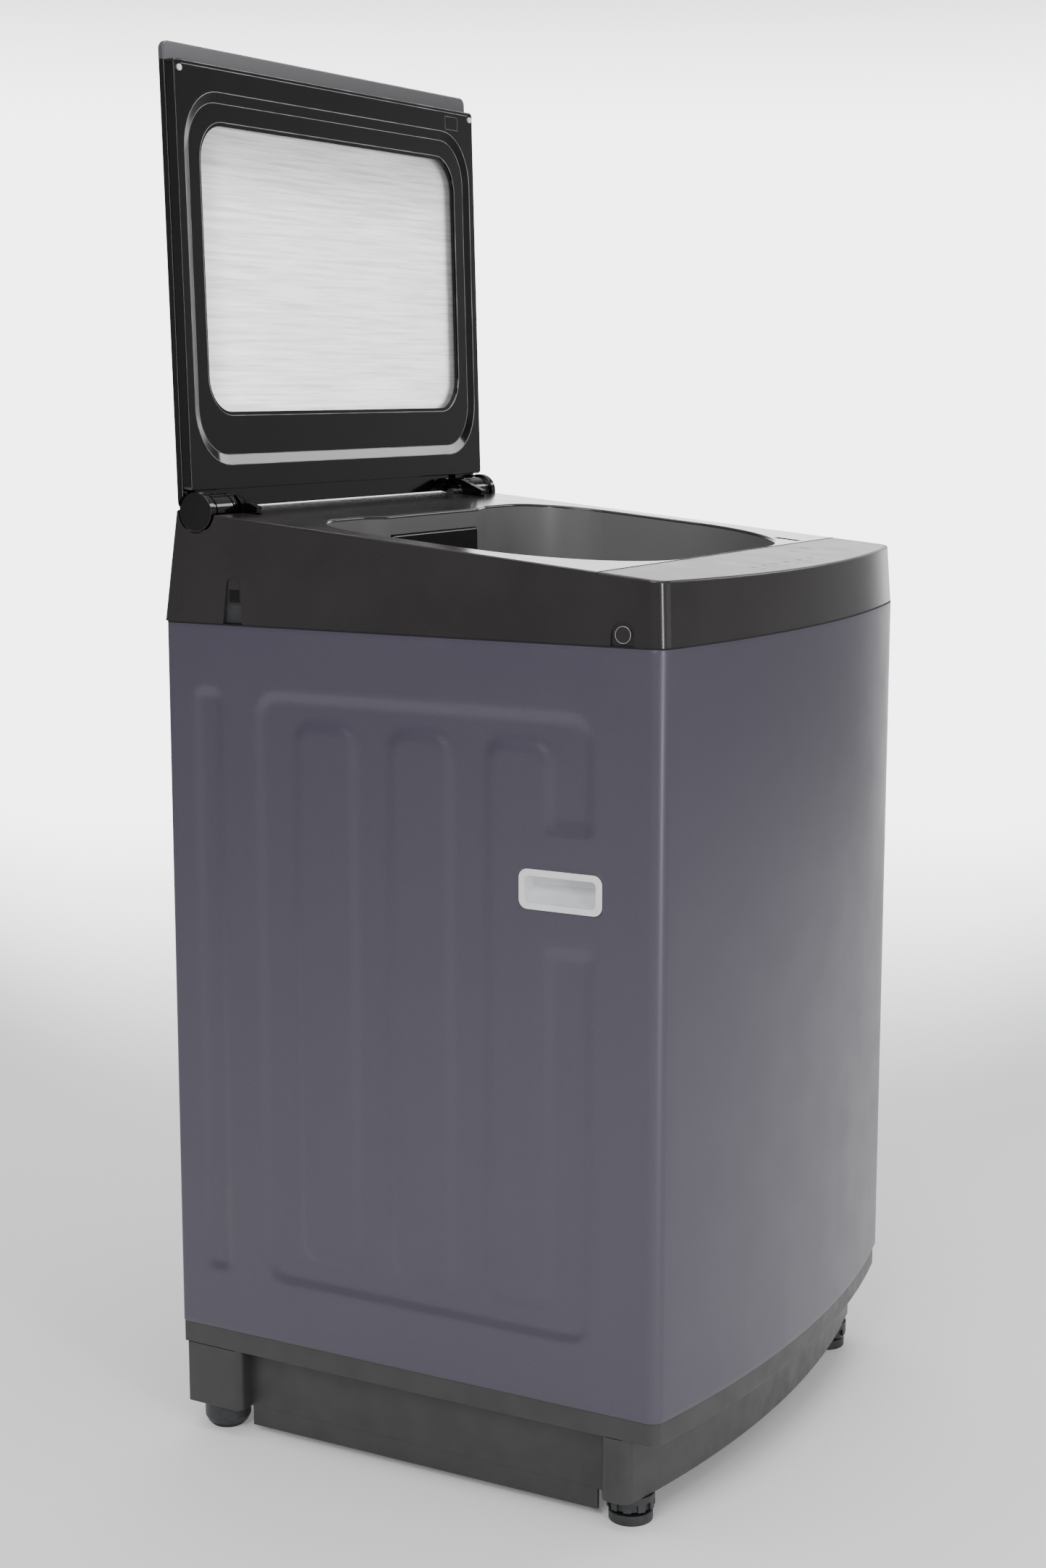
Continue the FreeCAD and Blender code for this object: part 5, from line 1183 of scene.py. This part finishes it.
class WASHER_OT_base(bpy.types.Operator):
    """Round the base moulding and finish its feet and drain tail"""
    bl_idname = "washer.base"
    bl_label = "Base and feet"

    def execute(self, context):
        refined("base", "base_moulding", 0.8, 3)
        keep("front_foot_left", "front_foot_right", "rear_foot_cups", "rear_foot_pads")
        refined("front_foot_nuts", "lock_nuts", 0.4, 2)
        keep("drain_outlet")
        return {"FINISHED"}


class WASHER_OT_cover(bpy.types.Operator):
    """Finish the top cover, its panel, caps, drawer and fittings"""
    bl_idname = "washer.cover"
    bl_label = "Top cover"

    def execute(self, context):
        keep("top_cover", "control_panel", "screw_caps")
        refined("detergent_drawer", "drawer", 0.5, 3)
        keep("control_tray", "control_board", "lid_lock", "dispenser_housing", "inlet_valve")
        build_print()
        build_seam()
        build_panel_seam()
        build_cap_rim_highlights()
        build_clip_ramps()
        return {"FINISHED"}


class WASHER_OT_lid(bpy.types.Operator):
    """Finish the lid's covers, glass, hinges and bumpers"""
    bl_idname = "washer.lid"
    bl_label = "Lid"

    def execute(self, context):
        keep("lid_cover", "lid_frame", "lid_window", "hinge_pins", "hinge_caps", "lid_bumpers")
        frame["nodes"]["lid_cover"].data.materials[0] = lid_cover_abs().material
        build_lid_highlight_beads()
        refined("lid_hinge_left", "hinge_left", 0.5, 2)
        refined("lid_hinge_right", "hinge_right", 0.5, 2)
        return {"FINISHED"}


class WASHER_OT_drum(bpy.types.Operator):
    """Build the drum wall and finish the tub, ring, filter and pulsator"""
    bl_idname = "washer.drum"
    bl_label = "Drum and tub"

    def execute(self, context):
        build_basket()
        refined("pulsator", "pulsator_disc", 2.0, 3)
        refined("lint_filter", "filter_case", 1.0, 3)
        keep("basket_floor", "balance_ring", "basket_hub", "pulsator_screw", "wash_shaft",
             "spin_tube", "tub", "tub_ring", "shaft_seal", "bearings", "suspension_brackets",
             "suspension_rods")
        build_springs()
        return {"FINISHED"}


class WASHER_OT_drive(bpy.types.Operator):
    """Finish the drive and the pump under the tub"""
    bl_idname = "washer.drive"
    bl_label = "Drive and pump"

    def execute(self, context):
        keep("support_plate", "gearbox", "drive_pulley", "motor_pulley", "drive_belt", "motor",
             "capacitor", "drain_pump", "pump_impeller")
        return {"FINISHED"}


class WASHER_OT_studio(bpy.types.Operator):
    """Set the pale floor, the soft lights and the camera"""
    bl_idname = "washer.studio"
    bl_label = "Studio"

    def execute(self, context):
        build_sweep()
        build_world()
        build_camera()
        for lamp in LAMPS:
            area_light(*lamp)
        return {"FINISHED"}


OPERATORS = (WASHER_OT_finishes, WASHER_OT_cabinet, WASHER_OT_base, WASHER_OT_cover, WASHER_OT_lid,
             WASHER_OT_drum, WASHER_OT_drive, WASHER_OT_studio)
GROUPS = {"washer_finishes": WASHER_PG_finishes, "washer_shell": WASHER_PG_shell,
          "washer_lid": WASHER_PG_lid, "washer_drum": WASHER_PG_drum,
          "washer_studio": WASHER_PG_studio}


class WASHER_PT_panel(bpy.types.Panel):
    """Lists the machine's settings and building steps"""
    bl_idname = "WASHER_PT_panel"
    bl_label = "Washing machine"
    bl_space_type = "VIEW_3D"
    bl_region_type = "UI"
    bl_category = "Washer"

    def draw(self, context):
        for name, group in GROUPS.items():
            box = self.layout.box()
            for setting in group.__annotations__:
                box.prop(getattr(context.scene, name), setting)
        for operator in OPERATORS:
            self.layout.operator(operator.bl_idname)


def register():
    for group in GROUPS.values():
        bpy.utils.register_class(group)
    for name, group in GROUPS.items():
        setattr(bpy.types.Scene, name, bpy.props.PointerProperty(type=group))
    for operator in OPERATORS:
        bpy.utils.register_class(operator)
    bpy.utils.register_class(WASHER_PT_panel)


def unregister():
    bpy.utils.unregister_class(WASHER_PT_panel)
    for operator in reversed(OPERATORS):
        bpy.utils.unregister_class(operator)
    for name in GROUPS:
        delattr(bpy.types.Scene, name)
    for group in GROUPS.values():
        bpy.utils.unregister_class(group)


def main():
    register()
    for operator in OPERATORS:
        area, name = operator.bl_idname.split(".")
        getattr(getattr(bpy.ops, area), name)()


if __name__ == "__main__":
    main()
